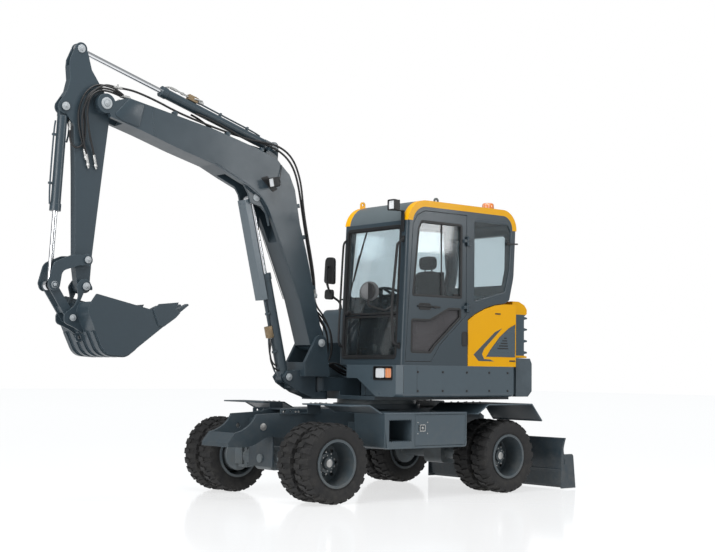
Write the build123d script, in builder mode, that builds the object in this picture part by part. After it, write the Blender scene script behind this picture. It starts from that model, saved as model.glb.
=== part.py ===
from build123d import *
from math import atan2, cos, degrees, hypot, radians, sin
import os

# Wheeled excavator, in millimetres. +X is forward, +Y is the machine's left
# and +Z is up. The origin lies on the ground under the slew centre.

# Running gear
wheelbase = 2200
front_axle_x = 1300
rear_axle_x = front_axle_x - wheelbase
wheel_outer_y = 1000
tyre_r = 365
tyre_width = 205
tyre_gap = 50
rim_r = 205
rim_wall = 9
rim_lip_r = 219
rim_lip_width = 13
rim_lip_gap = 5
rim_seat = 0.3
hub_r = 120
hub_cap_r = 44
spindle_r = 45
running_fit = 0.05
axle_tube_r = 68
axle_z = tyre_r
kingpin_y = 470
kingpin_r = 26
kingpin_lug_r = 50
knuckle_half = 84
steer_arm_length = 230
steer_arm_half = 26
tie_rod_r = 16

# Chassis
frame_y = 202
frame_plate = 24
frame_top_z = 830
frame_bottom_z = 470
frame_nose_x = 1956
frame_tail_x = -1330
ring_r = 400
ring_bottom_z = 875
box_rear_x = -300
box_front_x = 759
box_bottom_z = 479
box_top_z = 814
box_inner_y = 560
box_wall = 20
box_divider_x = 399
fender_plate = 8
fender_top_z = 888

# Dozer blade
blade_half_width = 1010
blade_pivot = (-1290, 520)
blade_pivot_y = 245
blade_x = -1733
blade_bottom_z = 12
blade_top_z = 530
blade_plate = 22
blade_step_z = 362
blade_end_plate = 14
blade_base_pin = (-1190, 760)
blade_rod_pin = (-1612, 430)

# Upper structure
deck_bottom_z = 922
ring_top_z = deck_bottom_z - 0.3
deck_top_z = 957
body_left_y = 987
body_right_y = -950
body_front_x = 560
skirt_top_z = 1257
skirt_rear_x = -959
tail_r = 1592
tail_split_x = -1050
counterweight_top_z = 1345
hood_front_x = -324
hood_plate = 40
panel_gap = 6
skirt_edge_r = 36
lamp_low_y = 604
lamp_high_y = 878
lamp_low_z = 1117
lamp_high_z = 1243
lamp_pocket_depth = 34
right_top_z = 1850
engine_centre_x = -760
engine_size = (460, 900, 500)

# Cab
cab_right_y = 50
cab_wall = 42
pillar_r = 28
cab_floor_z = skirt_top_z
cab_foot_x = 540
cab_brow_x = 479
cab_back_x = -1003
roof_split_z = 2630
roof_top_z = 2834
roof_band = 62
roof_front_r = 235
roof_rear_r = 195
door_rear_x = -300
door_hinge_y = body_left_y + 22
door_hinge_zs = (1830, 2480)
hinge_pin_r = 6
hinge_r = 13
seat_gap = 0.3

# Work equipment pins, as (x, z) in the middle plane
swing_x = 754
boom_foot = (851, 1463)
boom_cyl_base = (1186, 1132)
boom_cyl_rod = (1598, 2817)
arm_cyl_base = (1372, 3327)
arm_pin = (3222, 3487)
arm_top = (3436, 3946)
bucket_cyl_base = (3574, 3423)
rocker_pin = (3357, 2115)
bucket_pin = (3356, 1888)
link_top = (3658, 1889)
link_low = (3476, 1617)
bucket_eye = (3369, 1454)

# Half widths of the work equipment, from the middle plane outwards
boom_half = 120
boom_fork_depth = 242
boom_fork_inner = 72
arm_half = 40
arm_boss_half = 67
big_eye_half = 44
small_eye_half = 24
eye_slot = 28
boom_cyl_lug_inner = 60
boom_cyl_lug_outer = 90
boom_recess_half = 69
arm_cyl_lug_inner = 30
arm_cyl_lug_outer = 48
link_inner = 46
link_outer = 62
ear_inner = 66
ear_outer = 82
rocker_inner = 87
rocker_outer = 101
bucket_half = 290
bucket_plate = 14
pin_r = 30
small_pin_r = 25

os.makedirs("parts", exist_ok=True)


# A plate seen from the side, from (x, z) points, between y_high and y_high - width.
def side_plate(points, y_high, width, mode=Mode.ADD):
    with BuildSketch(Plane.XZ.offset(-y_high)) as profile:
        with BuildLine():
            Polyline(*points, close=True)
        make_face()
    extrude(profile.sketch, amount=width, mode=mode)


# The same with rounded corners, one radius for each point.
def rounded_plate(points, radii, y_high, width, mode=Mode.ADD):
    with BuildSketch(Plane.XZ.offset(-y_high)) as profile:
        with BuildLine():
            FilletPolyline(*points, radius=radii, close=True)
        make_face()
    extrude(profile.sketch, amount=width, mode=mode)


# A round bar or hole along Y, centred on an (x, z) point.
def cross_bar(centre, y_high, width, radius, mode=Mode.ADD):
    with BuildSketch(Plane.XZ.offset(-y_high)) as disc:
        with Locations(centre):
            Circle(radius)
    extrude(disc.sketch, amount=width, mode=mode)


# A box given by its low and high corners.
def block(low, high, mode=Mode.ADD):
    with BuildSketch(Plane.XY.offset(low[2])) as base:
        with Locations(((low[0] + high[0]) / 2, (low[1] + high[1]) / 2)):
            Rectangle(high[0] - low[0], high[1] - low[1])
    extrude(base.sketch, amount=high[2] - low[2], mode=mode)


# A flat plate seen from above, from (x, y) points, between z_low and z_high.
def level_plate(points, z_low, z_high, mode=Mode.ADD):
    with BuildSketch(Plane.XY.offset(z_low)) as profile:
        with BuildLine():
            Polyline(*points, close=True)
        make_face()
    extrude(profile.sketch, amount=z_high - z_low, mode=mode)


# A round bar or hole along Z.
def upright_bar(centre, z_low, z_high, radius, mode=Mode.ADD):
    with BuildSketch(Plane.XY.offset(z_low)) as disc:
        with Locations(centre):
            Circle(radius)
    extrude(disc.sketch, amount=z_high - z_low, mode=mode)


# The plane through a cylinder's base pin whose normal points at its rod pin.
def cylinder_plane(base, tip):
    return Plane(
        origin=(base[0], 0, base[1]), x_dir=(0, 1, 0),
        z_dir=(tip[0] - base[0], 0, tip[1] - base[1]),
    )


# A round bar or hole along that normal, between two distances from the base pin.
def axial_bar(plane, start, end, radius, mode=Mode.ADD):
    with BuildSketch(plane.offset(start)) as disc:
        Circle(radius)
    extrude(disc.sketch, amount=end - start, mode=mode)


# The two plates of a fork share one outline: their outer faces lie at y and at -inner.
def fork_faces(inner, outer):
    return (outer, -inner)


def save(part, name):
    part.label = name
    export_step(part, f"parts/{name}.step")


# Tyres and rims. The two tyres of a twin wheel stand either side of a gap, on one rim.
outer_tyre_y = wheel_outer_y - tyre_width / 2
inner_tyre_y = outer_tyre_y - tyre_width - tyre_gap
wheel_inner_y = inner_tyre_y - tyre_width / 2
tyre_middle_y = (outer_tyre_y + inner_tyre_y) / 2
disc_outer_y = tyre_middle_y + 5
hub_inner_y = tyre_middle_y - 40
spindle_end_y = disc_outer_y + 30
tyre_half = tyre_width / 2
bead_half = 74
flank_r = 318
tread_edge = 24
hub_step_r = 92
hub_nose_r = 58


def make_tyres(axle_x, side):
    with BuildPart() as tyres:
        for tyre_y in (outer_tyre_y, inner_tyre_y):
            with BuildSketch(Plane.YZ.offset(axle_x)) as section:
                with BuildLine():
                    bead = rim_r + rim_seat
                    Polyline(
                        (tyre_y - bead_half, axle_z + bead),
                        (tyre_y + bead_half, axle_z + bead),
                        (tyre_y + tyre_half, axle_z + flank_r),
                        (tyre_y + tyre_half - tread_edge, axle_z + tyre_r),
                        (tyre_y - tyre_half + tread_edge, axle_z + tyre_r),
                        (tyre_y - tyre_half, axle_z + flank_r),
                        close=True,
                    )
                make_face()
            revolve(section.sketch, axis=Axis((axle_x, 0, axle_z), (0, 1, 0)))
    return tyres.part if side > 0 else mirror(tyres.part, about=Plane.XZ)


def make_rim(axle_x, side):
    rim_inner_y = inner_tyre_y - bead_half - rim_lip_gap - rim_lip_width
    rim_outer_y = outer_tyre_y + bead_half + rim_lip_gap + rim_lip_width
    with BuildPart() as rim:
        with BuildSketch(Plane.YZ.offset(axle_x)) as section:
            with BuildLine():
                Polyline(
                    (rim_inner_y, axle_z + rim_r - rim_wall),
                    (rim_inner_y, axle_z + rim_lip_r),
                    (rim_inner_y + rim_lip_width, axle_z + rim_lip_r),
                    (rim_inner_y + rim_lip_width, axle_z + rim_r),
                    (rim_outer_y - rim_lip_width, axle_z + rim_r),
                    (rim_outer_y - rim_lip_width, axle_z + rim_lip_r),
                    (rim_outer_y, axle_z + rim_lip_r),
                    (rim_outer_y, axle_z + rim_r - rim_wall),
                    (disc_outer_y, axle_z + rim_r - rim_wall - 14),
                    (disc_outer_y, axle_z + hub_r),
                    (disc_outer_y + 36, axle_z + hub_r - 12),
                    (disc_outer_y + 42, axle_z + hub_step_r),
                    (disc_outer_y + 62, axle_z + hub_step_r - 4),
                    (disc_outer_y + 66, axle_z + hub_nose_r),
                    (disc_outer_y + 92, axle_z + hub_nose_r - 4),
                    (disc_outer_y + 98, axle_z + hub_cap_r),
                    (disc_outer_y + 98, axle_z),
                    (spindle_end_y + 1, axle_z),
                    (spindle_end_y + 1, axle_z + spindle_r + running_fit),
                    (hub_inner_y, axle_z + spindle_r + running_fit),
                    (hub_inner_y, axle_z + hub_r - 20),
                    (disc_outer_y - 14, axle_z + hub_r),
                    (disc_outer_y - 14, axle_z + rim_r - rim_wall - 12),
                    close=True,
                )
            make_face()
        revolve(section.sketch, axis=Axis((axle_x, 0, axle_z), (0, 1, 0)))
        with BuildSketch(Plane.XZ.offset(-disc_outer_y - 5)) as hand_holes:
            with Locations((axle_x, axle_z)):
                with PolarLocations((hub_r + rim_r - rim_wall - 14) / 2, 8):
                    Circle(17)
        extrude(hand_holes.sketch, amount=30, mode=Mode.SUBTRACT)
    return rim.part if side > 0 else mirror(rim.part, about=Plane.XZ)


corners = (
    # name, axle x, side
    ("front_left", front_axle_x, 1),
    ("front_right", front_axle_x, -1),
    ("rear_left", rear_axle_x, 1),
    ("rear_right", rear_axle_x, -1),
)
for corner, axle_x, side in corners:
    save(make_tyres(axle_x, side), f"tyres_{corner}")
    save(make_rim(axle_x, side), f"rim_{corner}")

# Steering knuckles: a block between the axle's lugs, with the hub motor, spindle and arm.
flange_y = wheel_inner_y + 8
lug_low_z = axle_z - knuckle_half
lug_high_z = axle_z + knuckle_half
steer_arm_x = front_axle_x - steer_arm_length
steer_pin_low_z = lug_low_z + 10
steer_plate = 22
steer_pin_r = 12
rod_eye_low_z = steer_pin_low_z + steer_plate + 2
rod_eye_high_z = rod_eye_low_z + 34


def make_knuckle(side):
    with BuildPart() as knuckle:
        block(
            (front_axle_x - 42, kingpin_y - 34, lug_low_z + 1),
            (front_axle_x + 42, flange_y, lug_high_z - 1),
        )
        upright_bar((front_axle_x, kingpin_y), lug_low_z - 28, lug_high_z + 28, kingpin_r)
        cross_bar((front_axle_x, axle_z), hub_inner_y - 12, hub_inner_y - 12 - flange_y, 150)
        cross_bar((front_axle_x, axle_z), spindle_end_y, spindle_end_y - flange_y, spindle_r)
        block(
            (steer_arm_x, kingpin_y - steer_arm_half, steer_pin_low_z),
            (front_axle_x, kingpin_y + steer_arm_half, steer_pin_low_z + steer_plate),
        )
        upright_bar(
            (steer_arm_x, kingpin_y), steer_pin_low_z, steer_pin_low_z + steer_plate,
            steer_arm_half,
        )
        upright_bar((steer_arm_x, kingpin_y), steer_pin_low_z, rod_eye_high_z + 4, steer_pin_r)
    return knuckle.part if side > 0 else mirror(knuckle.part, about=Plane.XZ)


save(make_knuckle(1), "knuckle_left")
save(make_knuckle(-1), "knuckle_right")

# Tie rod between the two steering arms, with an eye on each pin.
with BuildPart() as tie_rod:
    rod_z = (rod_eye_low_z + rod_eye_high_z) / 2
    cross_bar((steer_arm_x, rod_z), kingpin_y - 20, 2 * (kingpin_y - 20), tie_rod_r)
    for side in (1, -1):
        upright_bar((steer_arm_x, side * kingpin_y), rod_eye_low_z, rod_eye_high_z, 25)
        upright_bar(
            (steer_arm_x, side * kingpin_y), rod_eye_low_z, rod_eye_high_z, steer_pin_r + running_fit,
            Mode.SUBTRACT
        )
save(tie_rod.part, "tie_rod")

# Front axle: a tube with a differential housing, and two forked ends for the kingpins.
trunnion_r = 40
with BuildPart() as front_axle:
    cross_bar((front_axle_x, axle_z), kingpin_y - 84, 2 * (kingpin_y - 84), axle_tube_r)
    with BuildSketch(Plane.XZ.offset(-120)) as housing:
        with Locations((front_axle_x, axle_z)):
            RectangleRounded(230, 220, 60)
    extrude(housing.sketch, amount=240)
    with BuildSketch(Plane.YZ.offset(front_axle_x - 150)) as trunnion:
        with Locations((0, axle_z)):
            Circle(trunnion_r)
    extrude(trunnion.sketch, amount=300)
    for side in (1, -1):
        inner, outer = sorted((side * (kingpin_y - 110), side * (kingpin_y - 72)))
        block((front_axle_x - 40, inner, lug_low_z - 26), (front_axle_x + 40, outer, lug_high_z + 26))
        for low in (lug_low_z - 26, lug_high_z):
            inner, outer = sorted((side * (kingpin_y - 90), side * kingpin_y))
            block(
                (front_axle_x - kingpin_lug_r, inner, low),
                (front_axle_x + kingpin_lug_r, outer, low + 26),
            )
            upright_bar((front_axle_x, side * kingpin_y), low, low + 26, kingpin_lug_r)
        upright_bar(
            (front_axle_x, side * kingpin_y), lug_low_z - 40, lug_high_z + 40,
            kingpin_r + running_fit, Mode.SUBTRACT,
        )
save(front_axle.part, "front_axle")

# Rear axle: rigid, bolted under the frame through two pads.
pad_half = 55
with BuildPart() as rear_axle:
    cross_bar((rear_axle_x, axle_z), flange_y, 2 * flange_y, axle_tube_r)
    with BuildSketch(Plane.XZ.offset(-130)) as housing:
        with Locations((rear_axle_x, axle_z)):
            RectangleRounded(240, 230, 60)
    extrude(housing.sketch, amount=260)
    for side in (1, -1):
        hub_y = side * (hub_inner_y - 12)
        low, high = sorted((side * flange_y, hub_y))
        cross_bar((rear_axle_x, axle_z), high, high - low, 150)
        low, high = sorted((hub_y, side * spindle_end_y))
        cross_bar((rear_axle_x, axle_z), high, high - low, spindle_r)
        pad_y = side * (frame_y - frame_plate / 2)
        block(
            (rear_axle_x - pad_half, pad_y - 30, axle_z),
            (rear_axle_x + pad_half, pad_y + 30, frame_bottom_z),
        )
save(rear_axle.part, "rear_axle")

# Chassis frame: two side plates with the stepped nose, cross plates, and the turntable box.
frame_outer = frame_y + frame_plate / 2
frame_inner = frame_y - frame_plate / 2
nose_top = ((1180, frame_top_z), (1300, 800), (1642, 784))
nose_sweep = ((1642, 784), (1745, 668), (1877, 620))
nose_front = ((1877, 620), (1952, 531), (frame_nose_x, 492), (1764, 486))
nose_arch = ((1764, 486), (1641, 514), (1530, 568), (1321, 566))
side_rest = (
    (1321, 566),
    (1130, 560),
    (1040, 430),
    (-640, 430),
    (-760, frame_bottom_z),
    (-1200, frame_bottom_z),
    (frame_tail_x, 560),
    (frame_tail_x, 740),
    (-1180, frame_top_z),
    (1180, frame_top_z),
)
hanger_x = 135
hanger_plate = 18
frame_bore = (1562, 669)
frame_bore_r = 24
bracket_plate = 12
bracket_rear_x = 1137
bracket_front_x = 1373


# One side of the frame: its plate, fender bracket, box brackets and the blade arm's pivot.
def make_frame_side(side):
    with BuildPart() as frame_side:
        with BuildSketch(Plane.XZ.offset(-frame_outer)) as plate:
            with BuildLine():
                Polyline(*nose_top)
                Spline(*nose_sweep, tangents=((0.4, -1), (1, -0.15)))
                Polyline(*nose_front)
                Spline(*nose_arch, tangents=((-1, 0.05), (-1, 0)))
                Polyline(*side_rest)
            make_face()
        extrude(plate.sketch, amount=frame_plate)
        cross_bar(frame_bore, frame_outer + 5, frame_plate + 10, frame_bore_r, Mode.SUBTRACT)
        # fender bracket with two holes
        rounded_plate(
            (
                (bracket_rear_x, frame_top_z - 46), (bracket_front_x, 786), (bracket_front_x, 836),
                (bracket_rear_x, 836),
            ),
            (2, 2, 8, 8), frame_outer + bracket_plate, bracket_plate,
        )
        for hole_x in (bracket_front_x - 50, bracket_front_x - 120):
            cross_bar((hole_x, 814), frame_outer + bracket_plate + 2, bracket_plate + 4, 11, Mode.SUBTRACT)
        for bracket_x in (box_rear_x + 100, box_front_x - 240):
            block((bracket_x - 20, frame_outer, 560), (bracket_x + 20, box_inner_y, 700))
        block(
            (frame_tail_x + 10, frame_outer, blade_pivot[1] - 45),
            (-1200, blade_pivot_y - 14, blade_pivot[1] + 100)
        )
        cross_bar(blade_pivot, blade_pivot_y + 20, blade_pivot_y + 20 - frame_inner, pin_r)
    return frame_side.part if side > 0 else mirror(frame_side.part, about=Plane.XZ)


save(make_frame_side(1), "frame_side_left")
save(make_frame_side(-1), "frame_side_right")

# Between the sides: the top plate with the turntable seat, cross plates and the blade cylinder's lugs.
with BuildPart() as chassis_frame:
    block((-1180, -frame_inner, frame_top_z - 14), (1180, frame_inner, frame_top_z))
    for cross_x in (-1000, -640, 1020):
        block((cross_x, -frame_inner, 560), (cross_x + 16, frame_inner, frame_top_z))
    with BuildSketch(Plane.XY.offset(frame_top_z)) as turntable:
        Circle(ring_r + 40)
    extrude(turntable.sketch, amount=ring_bottom_z - frame_top_z)
    for y_high in fork_faces(50, 74):
        rounded_plate(
            ((-1240, 700), (-1240, 812), (-1100, frame_top_z - 5), (-1100, 700)), (45, 30, 0, 5), y_high, 24
        )
    cross_bar(blade_base_pin, 74, 148, small_pin_r)
save(chassis_frame.part, "chassis_frame")

# The front axle swings on two hanger plates.
with BuildPart() as axle_hanger:
    for hanger_low_x in (front_axle_x - hanger_x, front_axle_x + hanger_x - hanger_plate):
        block((hanger_low_x, -frame_inner, axle_z - 75), (hanger_low_x + hanger_plate, frame_inner, 740))
    with BuildSketch(Plane.YZ.offset(front_axle_x - 200)) as trunnion_bore:
        with Locations((0, axle_z)):
            Circle(trunnion_r + running_fit)
    extrude(trunnion_bore.sketch, amount=400, mode=Mode.SUBTRACT)
save(axle_hanger.part, "axle_hanger")

# Folded bumper between the nose plates.
with BuildPart() as bumper:
    side_plate(((1952, 531), (1877, 620), (1864, 610), (1938, 522)), frame_inner, 2 * frame_inner)
    side_plate(((frame_nose_x, 492), (1952, 531), (1938, 531), (1941, 492)), frame_inner, 2 * frame_inner)
save(bumper.part, "bumper")

# Slew ring between the chassis and the upper structure.
with BuildPart() as slew_ring:
    with BuildSketch(Plane.XY.offset(ring_bottom_z)) as ring:
        Circle(ring_r)
        Circle(ring_r - 90, mode=Mode.SUBTRACT)
    extrude(ring.sketch, amount=ring_top_z - ring_bottom_z)
save(slew_ring.part, "slew_ring")


locker_hinge = (box_rear_x + box_wall + 14, wheel_outer_y - 9)
box_outline = (
    (box_rear_x, box_bottom_z), (box_front_x - 35, box_bottom_z), (box_front_x, box_top_z),
    (box_rear_x, box_top_z),
)
box_radii = (38, 22, 4, 4)
step_back_y = box_inner_y + 120
step_low_z = box_bottom_z + 60
step_high_z = box_top_z - 60
step_rear_x = box_divider_x + box_wall
step_front_x = box_front_x - 60
step_tooth = 12
step_pitch = (step_front_x - step_rear_x) / 10
step_hole = [(step_rear_x, step_low_z)]
for index in range(10):
    tooth_x = step_rear_x + index * step_pitch
    step_hole += [(tooth_x + step_pitch / 2, step_low_z + step_tooth), (tooth_x + step_pitch, step_low_z)]
step_hole += [(step_front_x, step_high_z)]
for index in range(10):
    tooth_x = step_front_x - index * step_pitch
    step_hole += [(tooth_x - step_pitch / 2, step_high_z - step_tooth), (tooth_x - step_pitch, step_high_z)]


# Side boxes: a step with serrated treads in front and a tool locker behind it.
with BuildPart() as toolbox_left:
    rounded_plate(box_outline, box_radii, wheel_outer_y, wheel_outer_y - box_inner_y)
    side_plate(step_hole, wheel_outer_y + 10, wheel_outer_y + 10 - step_back_y, Mode.SUBTRACT)
    block(
        (box_rear_x + box_wall, box_inner_y + 60, box_bottom_z + box_wall),
        (box_divider_x - box_wall, wheel_outer_y + 10, box_top_z - box_wall), Mode.SUBTRACT,
    )
    for pin_low in (box_bottom_z + box_wall - 5, box_top_z - box_wall - 25):
        upright_bar(locker_hinge, pin_low, pin_low + 30, 5)
save(toolbox_left.part, "toolbox_left")

with BuildPart() as toolbox_door:
    block(
        (box_rear_x + box_wall + 4, wheel_outer_y - 18, box_bottom_z + box_wall + 4),
        (box_divider_x - box_wall - 4, wheel_outer_y, box_top_z - box_wall - 4),
    )
    for pin_low in (box_bottom_z + box_wall - 5, box_top_z - box_wall - 26):
        upright_bar(locker_hinge, pin_low, pin_low + 31, 5 + running_fit, Mode.SUBTRACT)
    # latch in its recess
    latch_low = (box_divider_x - 130, wheel_outer_y - 8, 640)
    latch_high = (latch_low[0] + 64, wheel_outer_y + 2, latch_low[2] + 56)
    block(latch_low, latch_high, Mode.SUBTRACT)
    block(
        (latch_low[0] + 14, latch_low[1] - 1, latch_low[2] + 16),
        (latch_high[0] - 12, wheel_outer_y - 2, latch_high[2] - 16),
    )
save(toolbox_door.part, "toolbox_door")

with BuildPart() as toolbox_right:
    rounded_plate(box_outline, box_radii, -box_inner_y, wheel_outer_y - box_inner_y)
    side_plate(step_hole, -step_back_y, wheel_outer_y + 10 - step_back_y, Mode.SUBTRACT)
save(toolbox_right.part, "toolbox_right")

# Fenders: flat plates that slope down at the end nearest the side boxes.
with BuildPart() as front_fenders:
    for side in (1, -1):
        low, high = sorted((side * 300, side * wheel_outer_y))
        side_plate(
            (
                (1180, fender_top_z),
                (940, fender_top_z),
                (790, 815),
                (790, 815 - fender_plate),
                (940 + 3, fender_top_z - fender_plate),
                (1180, fender_top_z - fender_plate),
            ),
            high, high - low,
        )
        low, high = sorted((side * 300, side * (300 + fender_plate)))
        block((960, low, frame_top_z - 40), (1120, high, fender_top_z - 2))
        low, high = sorted((side * frame_outer, side * (300 + fender_plate)))
        block((960, low, frame_top_z - 40), (1120, high, frame_top_z - 40 + fender_plate))
save(front_fenders.part, "front_fenders")

with BuildPart() as rear_fenders:
    for side in (1, -1):
        low, high = sorted((side * 300, side * wheel_outer_y))
        side_plate(
            (
                (-450, 800),
                (-600, fender_top_z),
                (-1226, fender_top_z),
                (-1376, 720),
                (-1376, 720 - fender_plate),
                (-1226 + 3, fender_top_z - fender_plate),
                (-600 - 3, fender_top_z - fender_plate),
                (-450, 800 - fender_plate),
            ),
            high, high - low,
        )
        low, high = sorted((side * 300, side * (300 + fender_plate)))
        block((-1100, low, frame_top_z - 40), (-700, high, fender_top_z - 2))
        low, high = sorted((side * frame_outer, side * (300 + fender_plate)))
        block((-1100, low, frame_top_z - 40), (-700, high, frame_top_z - 40 + fender_plate))
save(rear_fenders.part, "rear_fenders")

# Dozer blade: a mouldboard with end plates on two arms.
with BuildPart() as blade:
    with BuildSketch(Plane.XZ.offset(-blade_half_width)) as mouldboard:
        with BuildLine():
            ThreePointArc(
                (blade_x, blade_top_z),
                (blade_x + 45, (blade_top_z + blade_bottom_z) / 2),
                (blade_x - 45, blade_bottom_z),
            )
            Polyline((blade_x - 45, blade_bottom_z), (blade_x - 45 + blade_plate, blade_bottom_z))
            ThreePointArc(
                (blade_x - 45 + blade_plate, blade_bottom_z),
                (blade_x + 45 + blade_plate, (blade_top_z + blade_bottom_z) / 2),
                (blade_x + blade_plate, blade_top_z),
            )
            Polyline((blade_x + blade_plate, blade_top_z), (blade_x, blade_top_z))
        make_face()
    extrude(mouldboard.sketch, amount=2 * blade_half_width)
    for y_high in (blade_half_width, -blade_half_width + blade_end_plate):
        rounded_plate(
            (
                (blade_x + 70, blade_bottom_z), (blade_x + 70, blade_step_z), (blade_x - 112, blade_step_z),
                (blade_x - 149, blade_bottom_z),
            ),
            (4, 20, 30, 4), y_high, blade_end_plate,
        )
        with BuildSketch(Plane.XZ.offset(-y_high - 2)) as tie_hole:
            with Locations(Location((blade_x + 30, blade_step_z - 75), 90)):
                SlotCenterToCenter(38, 30)
        extrude(tie_hole.sketch, amount=blade_end_plate + 4, mode=Mode.SUBTRACT)
    # box section behind the cutting edge, with a ridge at half its height
    ridge_z = (blade_step_z + blade_bottom_z) / 2 + 20
    side_plate(
        (
            (blade_x - 10, blade_bottom_z + 30), (blade_x + 38, blade_bottom_z + 30),
            (blade_x + 52, ridge_z - 14),
            (blade_x + 66, ridge_z), (blade_x + 52, ridge_z + 14), (blade_x + 46, blade_step_z - 26),
            (blade_x + 62, blade_step_z - 14), (blade_x + 62, blade_step_z), (blade_x + 20, blade_step_z),
        ),
        blade_half_width - 5, 2 * blade_half_width - 10,
    )
    # gussets between the shelf and the upper edge
    for gusset_y in (blade_half_width - 25, blade_half_width - 160, 420):
        for side in (1, -1):
            side_plate(
                (
                    (blade_x + 58, blade_step_z - 2),
                    (blade_x + 26, blade_top_z - 30),
                    (blade_x + 10, blade_step_z - 2),
                ),
                side * gusset_y + blade_end_plate / 2, blade_end_plate,
            )
    for side in (1, -1):
        low, high = sorted((side * (blade_pivot_y - 12), side * (blade_pivot_y + 12)))
        side_plate(
            (
                (blade_x + 40, 180),
                (blade_x + 40, 330),
                (blade_pivot[0] - 20, blade_pivot[1] + 55),
                (blade_pivot[0] + 30, blade_pivot[1] - 30),
            ),
            high, 24,
        )
        cross_bar(blade_pivot, high, 24, 60)
    cross_bar(blade_pivot, blade_pivot_y + 20, 2 * blade_pivot_y + 40, pin_r + running_fit, Mode.SUBTRACT)
    for y_high in fork_faces(50, 70):
        side_plate(
            (
                (blade_x + 40, 320),
                (blade_x + 35, 510),
                (blade_rod_pin[0], blade_rod_pin[1] + 50),
                (blade_rod_pin[0] + 42, blade_rod_pin[1]),
                (blade_rod_pin[0], blade_rod_pin[1] - 50),
            ),
            y_high, 20,
        )
save(blade.part, "blade")

# Hydraulic cylinders. Each barrel is bored from its gland and holds the rod's piston.
gland_length = 60
gland_grow = 6
piston_length = 30
cylinders = (
    # name, base pin, rod pin, barrel length, barrel radius, bore, rod radius, eye radius, eye half width,
    # piston's place at rest, base pin radius, barrel's start
    (
        "blade_cylinder", blade_base_pin, blade_rod_pin, 360, 42, 35, 22, 40, big_eye_half, 190,
        small_pin_r, 0,
    ),
    ("boom_cylinder", boom_cyl_base, boom_cyl_rod, 1009, 55, 46, 25, 58, big_eye_half, 700, pin_r, 0),
    ("arm_cylinder", arm_cyl_base, arm_top, 1297, 46, 38, 23, 50, small_eye_half, 760, pin_r, 95),
    ("bucket_cylinder", bucket_cyl_base, link_top, 902, 43, 35, 21, 46, small_eye_half, 636, pin_r, 80),
)


def make_barrel(base, tip, length, barrel_r, bore_r, rod_r, eye_r, half, base_pin_r, start):
    plane = cylinder_plane(base, tip)
    with BuildPart() as barrel:
        axial_bar(plane, start, length, barrel_r)
        with BuildSketch(plane) as neck:
            Rectangle(2 * half, 2 * eye_r - 12)
        extrude(neck.sketch, amount=start + 5)
        axial_bar(plane, length - gland_length, length, barrel_r + gland_grow)
        cross_bar(base, half, 2 * half, eye_r)
        axial_bar(plane, max(start, eye_r) + 16, length - gland_length, bore_r, Mode.SUBTRACT)
        axial_bar(plane, length - gland_length, length, rod_r + running_fit, Mode.SUBTRACT)
        cross_bar(base, half + 40, 2 * half + 80, base_pin_r + running_fit, Mode.SUBTRACT)
    return barrel.part


def make_rod(base, tip, bore_r, rod_r, eye_r, half, piston_at):
    plane = cylinder_plane(base, tip)
    reach = hypot(tip[0] - base[0], tip[1] - base[1])
    with BuildPart() as rod:
        axial_bar(plane, piston_at, piston_at + piston_length, bore_r - 0.3)
        axial_bar(plane, piston_at, reach, rod_r)
        cross_bar(tip, half, 2 * half, eye_r)
        cross_bar(tip, half + 5, 2 * half + 10, small_pin_r + running_fit, Mode.SUBTRACT)
    return rod.part


for name, base, tip, length, barrel_r, bore_r, rod_r, eye_r, half, piston_at, base_pin_r, start in cylinders:
    save(
        make_barrel(base, tip, length, barrel_r, bore_r, rod_r, eye_r, half, base_pin_r, start),
        f"{name}_barrel",
    )
    save(make_rod(base, tip, bore_r, rod_r, eye_r, half, piston_at), f"{name}_rod")

# Upper frame: the deck plate on the ring and the swing bracket at its nose.
bracket_low_z = 1000
bracket_high_z = 1130
bracket_r = 95
deck_half_y = 620
with BuildPart() as upper_frame:
    level_plate(
        (
            (-1400, -deck_half_y + 120), (-1280, -deck_half_y), (420, -deck_half_y),
            (body_front_x, -deck_half_y + 200),
            (body_front_x, deck_half_y), (-1280, deck_half_y), (-1400, deck_half_y - 120),
        ),
        deck_bottom_z, deck_top_z,
    )
    block((300, -bracket_r, deck_bottom_z), (body_front_x, bracket_r, bracket_high_z))
    block((body_front_x - 20, -bracket_r, bracket_low_z), (swing_x, bracket_r, bracket_high_z))
    upright_bar((swing_x, 0), bracket_low_z, bracket_high_z, bracket_r)
    upright_bar((swing_x, 0), bracket_low_z, bracket_high_z, 42 + running_fit, Mode.SUBTRACT)
save(upper_frame.part, "upper_frame")

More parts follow.
